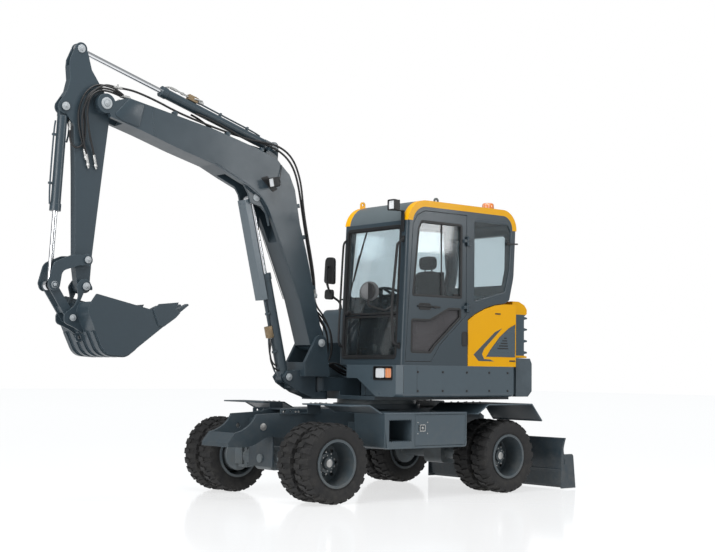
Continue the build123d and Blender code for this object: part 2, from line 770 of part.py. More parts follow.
# Swing post: forked on the bracket, with the boom's foot lugs and the boom cylinder's lugs.
post_low_z = 919
post_high_z = 1200
post_ear_r = 90
foot_inner = boom_half + 5
foot_outer = foot_inner + 30
with BuildPart() as swing_post:
    for low, high in ((post_low_z, bracket_low_z - 7), (bracket_high_z + 7, post_high_z)):
        upright_bar((swing_x, 0), low, high, post_ear_r)
        block((swing_x, -post_ear_r, low), (swing_x + 130, post_ear_r, high))
    side_plate(
        (
            (swing_x + bracket_r + 8, post_low_z), (900, post_low_z + 20), (1040, 985), (1116, 1030),
            (1116, post_high_z), (swing_x + bracket_r + 8, post_high_z),
        ),
        post_ear_r, 2 * post_ear_r,
    )
    upright_bar((swing_x, 0), post_low_z, post_high_z, 42)
    block((swing_x - 20, -foot_outer, bracket_high_z + 10), (1040, foot_outer, post_high_z))
    block((980, -foot_outer, post_high_z), (1040, foot_outer, post_high_z + 75))
    for y_high in fork_faces(foot_inner, foot_outer):
        side_plate(
            (
                (swing_x - 20, bracket_high_z + 10),
                (1040, bracket_high_z + 10),
                (1040, post_high_z + 80),
                (boom_foot[0] + 72, boom_foot[1] + 20),
                (boom_foot[0] - 74, boom_foot[1]),
            ),
            y_high, foot_outer - foot_inner,
        )
        cross_bar(boom_foot, y_high, foot_outer - foot_inner, 75)
    cross_bar(boom_foot, foot_outer + 12, 2 * foot_outer + 24, pin_r + 5)
    for y_high in fork_faces(boom_cyl_lug_inner, boom_cyl_lug_outer):
        side_plate(
            (
                (1100, 1012),
                (1080, 1195),
                (boom_cyl_base[0] + 10, boom_cyl_base[1] + 60),
                (boom_cyl_base[0] + 60, boom_cyl_base[1]),
                (boom_cyl_base[0] + 22, boom_cyl_base[1] - 56),
            ),
            y_high, boom_cyl_lug_outer - boom_cyl_lug_inner,
        )
    cross_bar(boom_cyl_base, boom_cyl_lug_outer + 8, 2 * boom_cyl_lug_outer + 16, pin_r)
save(swing_post.part, "swing_post")

# Boom: a box bent in the middle, with lugs for the boom cylinder's rod under the bend.
boom_top = (
    (3011, 3566), (2098, 3399), (1628, 3283), (1387, 3200), (1233, 3069), (1166, 2929), (1099, 2595),
    (1022, 2358), (956, 2119), (903, 1879), (795, 1500),
)
boom_low = (
    (905, 1420), (956, 1442), (1091, 1871), (1298, 2339), (1385, 2534), (1458, 2690), (1554, 2815),
    (1717, 2913), (1911, 2992), (2103, 3078), (2470, 3174), (2836, 3283), (3175, 3374),
)
boom_nose_r = 86
boom_lug_low = (
    (1445, 2560), (1483, 2681), (1545, 2735), (1600, 2752), (1668, 2770), (1690, 2850),
    (1754, 2945), (1880, 2993),
)
with BuildPart() as boom:
    side_plate(boom_top + boom_low + (arm_pin,), boom_half, 2 * boom_half)
    cross_bar(boom_foot, boom_half, 2 * boom_half, 74)
    cross_bar(arm_pin, boom_half, 2 * boom_half, boom_nose_r)
    side_plate(boom_lug_low + ((1700, 3050), (1450, 3000)), boom_cyl_lug_outer, 2 * boom_cyl_lug_outer)
    # recess for the rod's eye, between the lugs
    side_plate(
        (
            (1335, 2400), (1290, 2640), (1400, 2850), (1560, 3010), (1700, 3050), (1860, 3040),
            (1990, 2990), (1800, 2800), (1500, 2300),
        ),
        boom_recess_half, 2 * boom_recess_half, Mode.SUBTRACT,
    )
    cross_bar(boom_foot, boom_half + 5, 2 * boom_half + 10, pin_r + 5 + running_fit, Mode.SUBTRACT)
    # fork for the arm
    cross_bar(arm_pin, boom_fork_inner, 2 * boom_fork_inner, boom_fork_depth, Mode.SUBTRACT)
    cross_bar(arm_pin, boom_half + 10, 2 * boom_half + 20, pin_r)
    # lugs for the arm cylinder
    for y_high in fork_faces(arm_cyl_lug_inner, arm_cyl_lug_outer):
        rounded_plate(
            ((1330, 3100), (1315, 3378), (1408, 3378), (1432, 3300), (1500, 3230)), (5, 44, 44, 20, 5),
            y_high, arm_cyl_lug_outer - arm_cyl_lug_inner,
        )
    cross_bar(arm_cyl_base, arm_cyl_lug_outer + 8, 2 * arm_cyl_lug_outer + 16, pin_r)
save(boom.part, "boom")

# Arm: a narrow tapered box with a fork at its top, lugs for the bucket cylinder and bosses for its pins.
arm_back = (
    (3374, 3927), (3331, 3775), (3208, 3599), (3150, 3520), (3144, 3405), (3191, 3002), (3245, 2516),
    (3283, 2166), (3300, 1900),
)
arm_front = (
    (3412, 1880), (3442, 2070), (3454, 2455), (3467, 2885), (3486, 3270), (3560, 3362), (3632, 3400),
    (3632, 3450), (3559, 3561), (3534, 3669), (3545, 3780), (3540, 3843), (3495, 3947),
)
with BuildPart() as arm:
    side_plate(arm_back + arm_front, arm_half, 2 * arm_half)
    cross_bar(arm_top, arm_half, 2 * arm_half, 56)
    cross_bar(bucket_cyl_base, arm_half, 2 * arm_half, 62)
    cross_bar(arm_pin, arm_boss_half, 2 * arm_boss_half, 78)
    cross_bar(bucket_pin, ear_inner - 3, 2 * (ear_inner - 3), 56)
    cross_bar(rocker_pin, rocker_inner - 3, 2 * rocker_inner - 6, 44)
    # fork for the arm cylinder's rod
    side_plate(
        ((3150, 3760), (3330, 3730), (3500, 3780), (3620, 3800), (3700, 4100), (3150, 4100)),
        eye_slot, 2 * eye_slot, Mode.SUBTRACT,
    )
    # slot for the bucket cylinder's base
    side_plate(
        ((3510, 3100), (3508, 3440), (3560, 3500), (3760, 3540), (3760, 3100)),
        eye_slot, 2 * eye_slot, Mode.SUBTRACT,
    )
    cross_bar(bucket_cyl_base, arm_half + 10, 2 * arm_half + 20, pin_r)
    cross_bar(arm_pin, arm_boss_half + 5, 2 * arm_boss_half + 10, pin_r + running_fit, Mode.SUBTRACT)
    cross_bar(rocker_pin, rocker_outer + 10, 2 * rocker_outer + 20, small_pin_r)
    cross_bar(bucket_pin, ear_outer + 10, 2 * ear_outer + 20, pin_r)
save(arm.part, "arm")

# Rocker: two curved plates from the arm to the cylinder's rod, each with a stub at its end.
with BuildPart() as rocker:
    for side in (1, -1):
        low, high = sorted((side * rocker_inner, side * rocker_outer))
        rounded_plate(
            (
                (rocker_pin[0] - 44, rocker_pin[1] + 44),
                (rocker_pin[0] + 150, rocker_pin[1] + 34),
                (link_top[0] + 10, link_top[1] + 190),
                (link_top[0] + 60, link_top[1] + 10),
                (link_top[0] + 20, link_top[1] - 48),
                (link_top[0] - 48, link_top[1] - 20),
                (link_top[0] - 70, link_top[1] + 120),
                (rocker_pin[0] + 80, rocker_pin[1] - 52),
                (rocker_pin[0] - 44, rocker_pin[1] - 44),
            ),
            (40, 60, 90, 40, 30, 30, 60, 60, 40), high, high - low,
        )
        cross_bar(rocker_pin, high, high - low, 50)
        cross_bar(link_top, high, high - low, 50)
        cross_bar(rocker_pin, high + 5, high - low + 10, small_pin_r + running_fit, Mode.SUBTRACT)
        low, high = sorted((side * (link_outer + 5), side * (rocker_outer + 10)))
        cross_bar(link_top, high, high - low, 26)
save(rocker.part, "rocker")

# Link between the rocker's end and the bucket: two plates joined by a cross piece.
link_length = hypot(link_top[0] - link_low[0], link_top[1] - link_low[1])
link_angle = degrees(atan2(link_low[1] - link_top[1], link_low[0] - link_top[0]))
link_bridge_share = 0.7
with BuildPart() as bucket_link:
    for y_high in fork_faces(link_inner, link_outer):
        with BuildSketch(Plane.XZ.offset(-y_high)) as bar:
            with Locations(
                Location(((link_top[0] + link_low[0]) / 2, (link_top[1] + link_low[1]) / 2), link_angle)
            ):
                SlotCenterToCenter(link_length, 80)
        extrude(bar.sketch, amount=link_outer - link_inner)
        cross_bar(
            link_top, y_high + 2, link_outer - link_inner + 4, small_pin_r + running_fit,
            Mode.SUBTRACT,
        )
        cross_bar(
            link_low, y_high + 2, link_outer - link_inner + 4, small_pin_r + running_fit,
            Mode.SUBTRACT,
        )
    with BuildSketch(Plane.XZ.offset(-link_inner - 1)) as bridge:
        bridge_at = (
            link_top[0] + link_bridge_share * (link_low[0] - link_top[0]),
            link_top[1] + link_bridge_share * (link_low[1] - link_top[1]),
        )
        with Locations(Location(bridge_at, link_angle)):
            Rectangle(60, 50)
    extrude(bridge.sketch, amount=2 * link_inner + 2)
save(bucket_link.part, "bucket_link")

# Bucket: a curved shell with side plates, ears, a lifting eye, wear strips, side cutters and teeth.
shell_points = ((3362, 1820), (3452, 1690), (3275, 1312), (3060, 1298), (2710, 1557), (2814, 1703))
shell_radii = (10, 110, 130, 110, 2, 2)
inside_points = ((3362, 1860), (3436, 1690), (3266, 1327), (3064, 1313), (2690, 1590), (2700, 1860))
inside_radii = (2, 96, 116, 96, 2, 2)
wear_points = (
    (3380, 1500), (3283, 1300), (3056, 1286), (2960, 1357), (2970, 1400), (3200, 1400),
    (3330, 1520),
)
wear_radii = (2, 130, 118, 2, 2, 60, 2)
cutter_points = (
    (2814, 1703), (2759, 1757), (2561, 1779), (2590, 1722), (2543, 1687), (2590, 1640), (2710, 1559),
    (2761, 1574),
)
tooth_points = ((2770, 1513), (2440, 1759), (2448, 1772), (2620, 1690), (2735, 1615))
ear_points = (
    (3292, 1880), (3330, 1952), (3400, 1952), (3442, 1890), (3420, 1800), (3455, 1720), (3552, 1650),
    (3548, 1572),
    (3446, 1531), (3350, 1474), (3282, 1425), (3260, 1480), (3380, 1640), (3300, 1800),
)
ear_radii = (20, 40, 40, 40, 60, 60, 45, 40, 40, 20, 2, 2, 10, 10)
tooth_count = 5
tooth_width = 56
with BuildPart() as bucket:
    rounded_plate(shell_points, shell_radii, bucket_half, 2 * bucket_half)
    for index in range(tooth_count):
        strip_y = (index - (tooth_count - 1) / 2) * 120
        rounded_plate(wear_points, wear_radii, strip_y + 25, 50)
        tooth_y = (index - (tooth_count - 1) / 2) * (2 * bucket_half - tooth_width - 30) / (tooth_count - 1)
        side_plate(tooth_points, tooth_y + tooth_width / 2, tooth_width)
    for y_high in fork_faces(ear_inner, ear_outer):
        rounded_plate(ear_points, ear_radii, y_high, ear_outer - ear_inner)
    for y_high in (bucket_half + 12, -bucket_half):
        side_plate(cutter_points, y_high, 12)
    cross_bar(bucket_eye, 15, 30, 38)
    rounded_plate(
        inside_points, inside_radii, bucket_half - bucket_plate,
        2 * (bucket_half - bucket_plate), Mode.SUBTRACT,
    )
    cross_bar(bucket_eye, 16, 32, 18, Mode.SUBTRACT)
    cross_bar(bucket_pin, ear_outer + 5, 2 * ear_outer + 10, pin_r + running_fit, Mode.SUBTRACT)
    cross_bar(link_low, ear_outer + 10, 2 * ear_outer + 20, small_pin_r)
save(bucket.part, "bucket")

# Lower body: the skirts round the deck, below the cab and the covers.
with BuildPart() as lower_body:
    level_plate(
        (
            (body_front_x, 200), (body_front_x, body_left_y - 60), (body_front_x - 40, body_left_y),
            (skirt_rear_x, body_left_y), (tail_split_x + 20, body_left_y - 50),
            (tail_split_x + 20, body_right_y + 40),
            (skirt_rear_x, body_right_y), (250, body_right_y), (body_front_x, -540),
            (body_front_x, -200), (280, -200), (280, 200),
        ),
        deck_top_z, skirt_top_z,
    )
    rim_edges = lower_body.edges().group_by(Axis.Z)[0].filter_by(
        lambda e: abs(e.center().Y) > 600 and e.center().X > -1000
    )
    fillet(rim_edges, skirt_edge_r)
    for side in (1, -1):
        with BuildSketch(Plane.YZ.offset(270)) as slant:
            with BuildLine():
                Polyline(
                    (side * 150, deck_top_z - 5), (side * 640, deck_top_z - 5), (side * 616, 971),
                    (side * 360, 1129),
                    (side * 150, 1129), close=True,
                )
            make_face()
        extrude(slant.sketch, amount=300, mode=Mode.SUBTRACT)
    block(
        (body_front_x - lamp_pocket_depth, lamp_low_y, lamp_low_z),
        (body_front_x + 5, lamp_high_y, lamp_high_z),
        Mode.SUBTRACT,
    )
    for lamp_y, lamp_r in ((lamp_low_y + 78, 52), (lamp_high_y - 62, 44)):
        with BuildSketch(Plane.YZ.offset(body_front_x - lamp_pocket_depth - 5)) as lamp:
            with Locations((lamp_y, (lamp_low_z + lamp_high_z) / 2)):
                Circle(lamp_r)
        extrude(lamp.sketch, amount=lamp_pocket_depth - 5)
save(lower_body.part, "lower_body")

# A round tail piece: a profile of (radius, z) points turned about the slew axis, cut to its plan.
def tail_piece(profile, plan_low, plan_high):
    with BuildPart() as tail:
        with BuildSketch(Plane.XZ) as section:
            with BuildLine():
                Polyline(*profile, close=True)
            make_face()
        revolve(section.sketch, axis=Axis.Z)
        block(plan_low, plan_high, Mode.INTERSECT)
    return tail.part


# Counterweight
save(
    tail_piece(
        (
            (200, deck_top_z), (1546, deck_top_z), (tail_r, deck_top_z + 55),
            (tail_r, counterweight_top_z - 55),
            (1570, counterweight_top_z), (200, counterweight_top_z),
        ),
        (-tail_r - 10, body_right_y + 15, deck_top_z),
        (tail_split_x, body_left_y - 45, counterweight_top_z),
    ),
    "counterweight",
)

# Rear hood: a hinged shell over the engine, with four ribs round its tail and a domed top.
hood_r = 1534
hood_rib_r = 1538
hood_base_r = 1502
hood_top_r = 1440
hood_split_x = -1006
hood_dome_z = 1922
hood_side_y = 930
hood_hinge = (hood_split_x + 3, hood_dome_z + hinge_r + 1)
hood_hinge_y = 480
hood_low_z = counterweight_top_z + panel_gap
rib_zs = (1405, 1522, 1640, 1755)
rib_profile = []
for rib_z in rib_zs:
    rib_profile += [
        (hood_base_r, rib_z - 16), (hood_rib_r, rib_z - 7), (hood_rib_r, rib_z + 7),
        (hood_base_r, rib_z + 16),
    ]
hood_profile = (
    [(200, hood_low_z), (hood_r, hood_low_z), (hood_r, hood_low_z + 16), (hood_base_r, hood_low_z + 22)]
    + rib_profile
    + [(hood_r, 1800), (hood_r, 1845), (1505, 1888), (hood_top_r, hood_dome_z), (200, hood_dome_z)]
)


# Two ears and a pin that carry the rear hood's hinge, on the cover in front of it.
def hood_hinge_bracket(hinge_y, cover_z):
    for low in (hinge_y - 40, hinge_y + 16):
        block((hood_hinge[0] - 2, low, cover_z - 5), (hood_hinge[0] + 60, low + 24, hood_hinge[1]))
        cross_bar(hood_hinge, low + 24, 24, hinge_r)
    cross_bar(hood_hinge, hinge_y + 40, 80, hinge_pin_r)


with BuildPart() as rear_hood:
    add(
        tail_piece(
            hood_profile, (-tail_r, -hood_side_y, hood_low_z), (hood_split_x, hood_side_y, hood_dome_z)
        )
    )
    with BuildSketch(Plane.XY.offset(hood_low_z - 5)) as inner_plan:
        Circle(hood_base_r - hood_plate)
        with Locations(((hood_split_x - hood_r) / 2 + 10, 0)):
            Rectangle(hood_r + hood_split_x, 2 * (hood_side_y - hood_plate), mode=Mode.INTERSECT)
    extrude(inner_plan.sketch, amount=hood_dome_z - hood_plate - hood_low_z + 5, mode=Mode.SUBTRACT)
    for hinge_y in (hood_hinge_y, -hood_hinge_y):
        block(
            (hood_hinge[0] - 60, hinge_y - 15, hood_dome_z - 5),
            (hood_hinge[0], hinge_y + 15, hood_hinge[1]),
        )
        cross_bar(hood_hinge, hinge_y + 15, 30, hinge_r)
        cross_bar(hood_hinge, hinge_y + 20, 40, hinge_pin_r + running_fit, Mode.SUBTRACT)
save(rear_hood.part, "rear_hood")

# Side hood: the yellow panel left of the engine and the curved cover behind the cab.
side_hood_top = (
    (hood_front_x, 1704), (-417, 1764), (-556, 1824), (-697, 1864), (-840, 1882),
    (hood_split_x + panel_gap, 1884),
)
vent_outline = ((-994, 1690), (-900, 1650), (-770, 1560), (-629, 1420), (-575, 1350), (-994, 1350))
vent_depth = 6
side_hood_inner_top = tuple((x, z - hood_plate) for x, z in side_hood_top)
with BuildPart() as side_hood:
    side_plate(
        ((hood_split_x + panel_gap, skirt_top_z), (hood_front_x, skirt_top_z)) + side_hood_top,
        body_left_y, body_left_y - cab_right_y,
    )
    side_plate(
        ((hood_split_x, skirt_top_z - 5), (hood_front_x - hood_plate, skirt_top_z - 5))
        + ((hood_front_x - hood_plate, side_hood_inner_top[0][1]),) + side_hood_inner_top[1:-1]
        + ((hood_split_x, side_hood_inner_top[-1][1]),),
        body_left_y - hood_plate, body_left_y - cab_right_y, Mode.SUBTRACT,
    )
    side_plate(vent_outline, body_left_y + 5, 5 + vent_depth, Mode.SUBTRACT)
    for louvre_z in range(1450, 1571, 30):
        block(
            (-860, body_left_y - 20, louvre_z),
            (-700 - (louvre_z - 1450), body_left_y + 5, louvre_z + 14), Mode.SUBTRACT,
        )
    hood_hinge_bracket(hood_hinge_y, side_hood_top[-1][1])
save(side_hood.part, "side_hood")

# Right-hand engine cover, open towards the engine and the rear hood.
right_split_x = -460
with BuildPart() as right_hood:
    block(
        (hood_split_x + panel_gap, body_right_y, skirt_top_z),
        (right_split_x - panel_gap, cab_right_y - panel_gap, right_top_z),
    )
    block(
        (hood_split_x, body_right_y + hood_plate, skirt_top_z - 5),
        (right_split_x - panel_gap - hood_plate, cab_right_y, right_top_z - hood_plate), Mode.SUBTRACT,
    )
    hood_hinge_bracket(-hood_hinge_y, right_top_z)
save(right_hood.part, "right_hood")

# Engine: one plain block under the hoods.
with BuildPart() as engine_block:
    block(
        (engine_centre_x - engine_size[0] / 2, -engine_size[1] / 2, skirt_top_z),
        (engine_centre_x + engine_size[0] / 2, engine_size[1] / 2, skirt_top_z + engine_size[2]),
    )
save(engine_block.part, "engine_block")

# Right-hand cover over the tanks, and the step box in front of it.
right_front_x = -40
with BuildPart() as right_body:
    block((right_split_x, body_right_y, skirt_top_z), (right_front_x, cab_right_y - 12, right_top_z))
    fillet(right_body.edges().filter_by(Axis.Y).sort_by(Axis.Z)[-1], 70)
    level_plate(
        (
            (right_front_x - 5, body_right_y), (240, body_right_y), (480, -620), (480, -330),
            (right_front_x - 5, -330),
        ),
        skirt_top_z, 1480,
    )
save(right_body.part, "right_body")

# Cab: a hollow shell whose windows and doorway are cut out. Its roof is a cap with rounded ends on a
# narrower crown, so the shell steps in by the cap's thickness above roof_split_z.
crown_front_x = cab_brow_x - roof_band
crown_rear_x = cab_back_x + roof_band
crown_top_z = roof_top_z - roof_band - seat_gap
crown_front_r = roof_front_r - roof_band
crown_rear_r = roof_rear_r - roof_band
liner = 34
rail_r = 13


# The crown's outline, grown outwards by an offset, from a low edge up.
def crown_points(grow, low_z):
    return (
        (crown_front_x + grow, low_z), (crown_front_x + grow, crown_top_z + grow),
        (crown_rear_x - grow, crown_top_z + grow), (crown_rear_x - grow, low_z),
    )


def crown_radii(grow):
    return (1, crown_front_r + grow, crown_rear_r + grow, 1)


cab_outline = (
    (cab_foot_x, cab_floor_z), (cab_brow_x, roof_split_z), (cab_back_x, roof_split_z),
    (-982, 2238), (-900, 1925), (-840, 1892), (-697, 1874), (-556, 1834), (-417, 1774), (-316, 1714),
    (-316, cab_floor_z),
)
cab_inside = (
    (498, cab_floor_z + 30), (430, 2560), (crown_front_x - liner, 2600), (crown_rear_x + liner, 2600),
    (-945, 2560), (-940, 2240), (-870, 1965), (-270, 1940), (-270, cab_floor_z + 30),
)
door_outline = (
    (500, 1290), (415, 2600), (360, 2690), (260, 2736), (door_rear_x, 2736),
    (door_rear_x, 1750), (55, 1450), (165, 1290),
)
with BuildPart() as cab_shell:
    side_plate(cab_outline, body_left_y, body_left_y - cab_right_y)
    pillars = cab_shell.edges().filter_by(lambda e: e.center().X > 500 and e.length > 1000)
    fillet(pillars, pillar_r)
    corners_behind = cab_shell.edges().filter_by(lambda e: e.center().X < -985 and 380 < e.length < 420)
    fillet(corners_behind, pillar_r)
    rounded_plate(crown_points(0, 2500), crown_radii(0), body_left_y, body_left_y - cab_right_y)
    cab_width = body_left_y - cab_right_y - 2 * cab_wall
    side_plate(cab_inside, body_left_y - cab_wall, cab_width, Mode.SUBTRACT)
    rounded_plate(
        crown_points(-liner, 2550), crown_radii(-liner), body_left_y - cab_wall, cab_width,
        Mode.SUBTRACT,
    )
    side_plate(door_outline, body_left_y + 5, cab_wall + 10, Mode.SUBTRACT)
    # rear left window
    rounded_plate(
        ((-385, 2706), (-895, 2706), (-946, 2620), (-926, 2240), (-856, 1985), (-385, 1868)),
        (40, 70, 60, 80, 60, 40), body_left_y + 5, cab_wall + 10, Mode.SUBTRACT,
    )
    # right window
    rounded_plate(
        ((360, 2680), (-880, 2690), (-926, 2240), (-850, 1990), (440, 1900)),
        (70, 60, 60, 60, 60), cab_right_y + cab_wall + 5, cab_wall + 10, Mode.SUBTRACT,
    )
    # windscreen and rear window
    block((300, cab_right_y + 58, 1330), (700, body_left_y - 100, 2575), Mode.SUBTRACT)
    block((-1100, cab_right_y + 110, 2080), (-850, body_left_y - 110, 2590), Mode.SUBTRACT)
    # hinge ears and pins for the door
    for hinge_z in door_hinge_zs:
        for low in (hinge_z - 46, hinge_z + 16):
            block((door_rear_x - 46, body_left_y - 5, low), (door_rear_x, door_hinge_y, low + 30))
            upright_bar((door_rear_x, door_hinge_y), low, low + 30, hinge_r)
        upright_bar((door_rear_x, door_hinge_y), hinge_z - 46, hinge_z + 46, hinge_pin_r)
save(cab_shell.part, "cab_shell")

# Roof cap on the crown, with its two lifting eyes.
with BuildPart() as cab_roof:
    rounded_plate(
        crown_points(roof_band + seat_gap, 2500), crown_radii(roof_band + seat_gap),
        body_left_y, body_left_y - cab_right_y,
    )
    rounded_plate(
        crown_points(seat_gap, 2490), crown_radii(seat_gap), body_left_y + 5,
        body_left_y - cab_right_y + 10, Mode.SUBTRACT,
    )
    block((-1100, 0, 2480), (600, body_left_y + 5, roof_split_z + seat_gap), Mode.SUBTRACT)
    for eye_x, eye_y in ((300, 112), (11, 880)):
        eye_z = roof_top_z + 26
        cross_bar((eye_x, eye_z), eye_y, 14, 30)
        block((eye_x - 30, eye_y - 14, roof_top_z - 24), (eye_x + 30, eye_y, eye_z))
        cross_bar((eye_x, eye_z), eye_y + 2, 18, 13, Mode.SUBTRACT)
save(cab_roof.part, "cab_roof")

# Cab door: as thick as the wall, with its two windows cut, hinged at its rear edge.
with BuildPart() as cab_door:
    side_plate(
        (
            (494, 1297), (409, 2598), (356, 2684), (258, 2729), (door_rear_x + 6, 2729),
            (door_rear_x + 6, 1754), (59, 1459), (168, 1297),
        ),
        body_left_y, cab_wall,
    )
    rounded_plate(
        ((420, 1910), (350, 2560), (310, 2640), (-240, 2640), (-240, 1910)), (30, 60, 40, 40, 30),
        body_left_y + 5, cab_wall + 10, Mode.SUBTRACT,
    )
    rounded_plate(
        (
            (435, 1370), (430, 1700), (190, 1700), (-60, 1820), (-230, 1820), (-230, 1720),
            (110, 1440), (170, 1370),
        ),
        (30, 30, 60, 30, 30, 30, 30, 30), body_left_y + 5, cab_wall + 10, Mode.SUBTRACT,
    )
    for hinge_z in door_hinge_zs:
        block((door_rear_x, body_left_y - 5, hinge_z - 15), (door_rear_x + 50, door_hinge_y, hinge_z + 15))
        upright_bar((door_rear_x, door_hinge_y), hinge_z - 15, hinge_z + 15, hinge_r)
        upright_bar(
            (door_rear_x, door_hinge_y), hinge_z - 20, hinge_z + 20, hinge_pin_r + running_fit,
            Mode.SUBTRACT,
        )
save(cab_door.part, "cab_door")

# Seat and control console on the cab floor.
with BuildPart() as seat:
    block((-250, 320, cab_floor_z + 30 + seat_gap), (150, 720, cab_floor_z + 330))
    block((-250, 300, cab_floor_z + 330), (190, 740, cab_floor_z + 450))
    block((-255, 320, cab_floor_z + 450), (-150, 720, cab_floor_z + 1100))
save(seat.part, "seat")

with BuildPart() as console:
    block((330, 440, cab_floor_z + 30 + seat_gap), (420, 600, cab_floor_z + 360))
    column = Plane(origin=(375, 520, cab_floor_z + 330), x_dir=(0, 1, 0), z_dir=(-0.42, 0, 1))
    with BuildSketch(column) as column_tube:
        Circle(34)
    extrude(column_tube.sketch, amount=390)
    with BuildSketch(column.offset(375)) as spokes:
        Rectangle(330, 26)
        Rectangle(26, 330)
        Circle(46)
    extrude(spokes.sketch, amount=16)
    wheel_plane = column.offset(383)
    with BuildSketch(
        Plane(origin=wheel_plane.origin, x_dir=wheel_plane.x_dir, z_dir=wheel_plane.y_dir)
    ) as wheel_ring:
        with Locations((165, 0)):
            Circle(13)
    revolve(wheel_ring.sketch, axis=Axis(wheel_plane.origin, wheel_plane.z_dir))
save(console.part, "console")


# The cab's front face leans back: its x at a height.
def cab_front_x(z):
    return cab_foot_x - (cab_foot_x - cab_brow_x) * (z - cab_floor_z) / (roof_split_z - cab_floor_z)


# A pad seated on the cab's front face, between two heights.
def front_pad(z_low, z_high, reach, y_high, width):
    low_x = cab_front_x(z_low) + seat_gap
    high_x = cab_front_x(z_high) + seat_gap
    side_plate(
        ((low_x, z_low), (high_x, z_high), (high_x + reach, z_high), (low_x + reach, z_low)),
        y_high, width,
    )


# A bent round tube through its route's points.
def bent_tube(route, bend_r, radius):
    with BuildLine() as centre_line:
        FilletPolyline(*route, radius=bend_r)
    with BuildSketch(Plane(origin=centre_line.line @ 0, z_dir=centre_line.line % 0)) as tube:
        Circle(radius)
    sweep(tube.sketch, path=centre_line.line)


# Handrail and mirror on the cab's left front corner, and the work lamp above them.
rail_y = 938
rail_foot_z = 1440
rail_head_z = 2450
mirror_z = 1936
mirror_x = 888
with BuildPart() as cab_fittings:
    for pad_z in (rail_foot_z, rail_head_z):
        front_pad(pad_z - 30, pad_z + 30, 14, rail_y + 16, 32)
    bent_tube(
        (
            (cab_front_x(rail_foot_z) + 8, rail_y, rail_foot_z), (628, 960, rail_foot_z + 20),
            (655, 965, 1800),
            (590, 965, rail_head_z - 60), (cab_front_x(rail_head_z) + 8, rail_y, rail_head_z),
        ),
        28, rail_r,
    )
    bent_tube(
        ((655, 965, 1800), (720, 945, 1765), (mirror_x, 905, 1800), (mirror_x, 900, mirror_z)), 22,
        rail_r - 3,
    )
    with BuildSketch(
        Plane(origin=(mirror_x - 12, 900, mirror_z), x_dir=(0, 1, 0), z_dir=(1, 0, 0))
    ) as mirror_head:
        Circle(82)
    extrude(mirror_head.sketch, amount=26)
    front_pad(2520, 2600, 14, 945, 40)
    side_plate(
        ((cab_front_x(2560) + 4, 2560), (cab_front_x(2600) + 4, 2720), (590, 2720), (590, 2712), (cab_front_x(2600) + 14, 2712),
         (cab_front_x(2560) + 14, 2560)),
        945, 40,
    )
    block((560, 868, 2716), (622, 962, 2812))
save(cab_fittings.part, "cab_fittings")
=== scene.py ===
import math
import random

import bpy
from mathutils import Matrix, Vector


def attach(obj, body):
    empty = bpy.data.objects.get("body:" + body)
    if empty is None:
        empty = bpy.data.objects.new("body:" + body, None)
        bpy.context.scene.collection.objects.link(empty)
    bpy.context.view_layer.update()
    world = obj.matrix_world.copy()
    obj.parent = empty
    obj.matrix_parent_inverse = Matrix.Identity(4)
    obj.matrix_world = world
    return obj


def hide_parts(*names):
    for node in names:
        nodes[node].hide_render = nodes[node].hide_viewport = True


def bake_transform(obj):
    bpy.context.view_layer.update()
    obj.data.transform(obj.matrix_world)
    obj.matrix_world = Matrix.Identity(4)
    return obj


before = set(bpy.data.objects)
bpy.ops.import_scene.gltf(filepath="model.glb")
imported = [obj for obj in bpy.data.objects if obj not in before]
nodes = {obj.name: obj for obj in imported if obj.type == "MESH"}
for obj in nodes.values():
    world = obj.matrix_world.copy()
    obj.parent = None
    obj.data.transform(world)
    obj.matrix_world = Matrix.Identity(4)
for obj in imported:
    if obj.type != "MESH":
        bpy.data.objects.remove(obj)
random.seed(7)
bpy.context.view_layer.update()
print("stage: frame loaded,", len(nodes), "nodes")


# shader helpers: each returns the socket that its node puts out
def newGroup(name, inputs, outputs):
    tree = bpy.data.node_groups.new(name, "ShaderNodeTree")
    for label, kind, value in inputs:
        tree.interface.new_socket(label, in_out="INPUT", socket_type=kind).default_value = value
    for label, kind in outputs:
        tree.interface.new_socket(label, in_out="OUTPUT", socket_type=kind)
    return tree, tree.nodes.new("NodeGroupInput"), tree.nodes.new("NodeGroupOutput")


def setInput(tree, socket, value):
    if isinstance(value, (int, float, tuple)):
        socket.default_value = value
    else:
        tree.links.new(value, socket)


def mathNode(tree, operation, a, b=0.0):
    node = tree.nodes.new("ShaderNodeMath")
    node.operation = operation
    setInput(tree, node.inputs[0], a)
    setInput(tree, node.inputs[1], b)
    return node.outputs[0]


def rangeNode(tree, value, low, high, outLow=0.0, outHigh=1.0):
    node = tree.nodes.new("ShaderNodeMapRange")
    setInput(tree, node.inputs["Value"], value)
    for label, number in (("From Min", low), ("From Max", high), ("To Min", outLow), ("To Max", outHigh)):
        node.inputs[label].default_value = number
    return node.outputs["Result"]


def noiseNode(tree, vector, scale, detail=4.0, rough=0.55):
    node = tree.nodes.new("ShaderNodeTexNoise")
    setInput(tree, node.inputs["Vector"], vector)
    node.inputs["Scale"].default_value = scale
    node.inputs["Detail"].default_value = detail
    node.inputs["Roughness"].default_value = rough
    return node.outputs["Fac"]


def mixColour(tree, factor, a, b):
    node = tree.nodes.new("ShaderNodeMix")
    node.data_type = "RGBA"
    setInput(tree, node.inputs[0], factor)
    setInput(tree, node.inputs[6], a)
    setInput(tree, node.inputs[7], b)
    return node.outputs[2]


def bumpNode(tree, height, strength, distance, normal=None):
    node = tree.nodes.new("ShaderNodeBump")
    node.inputs["Strength"].default_value = strength
    node.inputs["Distance"].default_value = distance
    setInput(tree, node.inputs["Height"], height)
    if normal is not None:
        tree.links.new(normal, node.inputs["Normal"])
    return node.outputs[0]


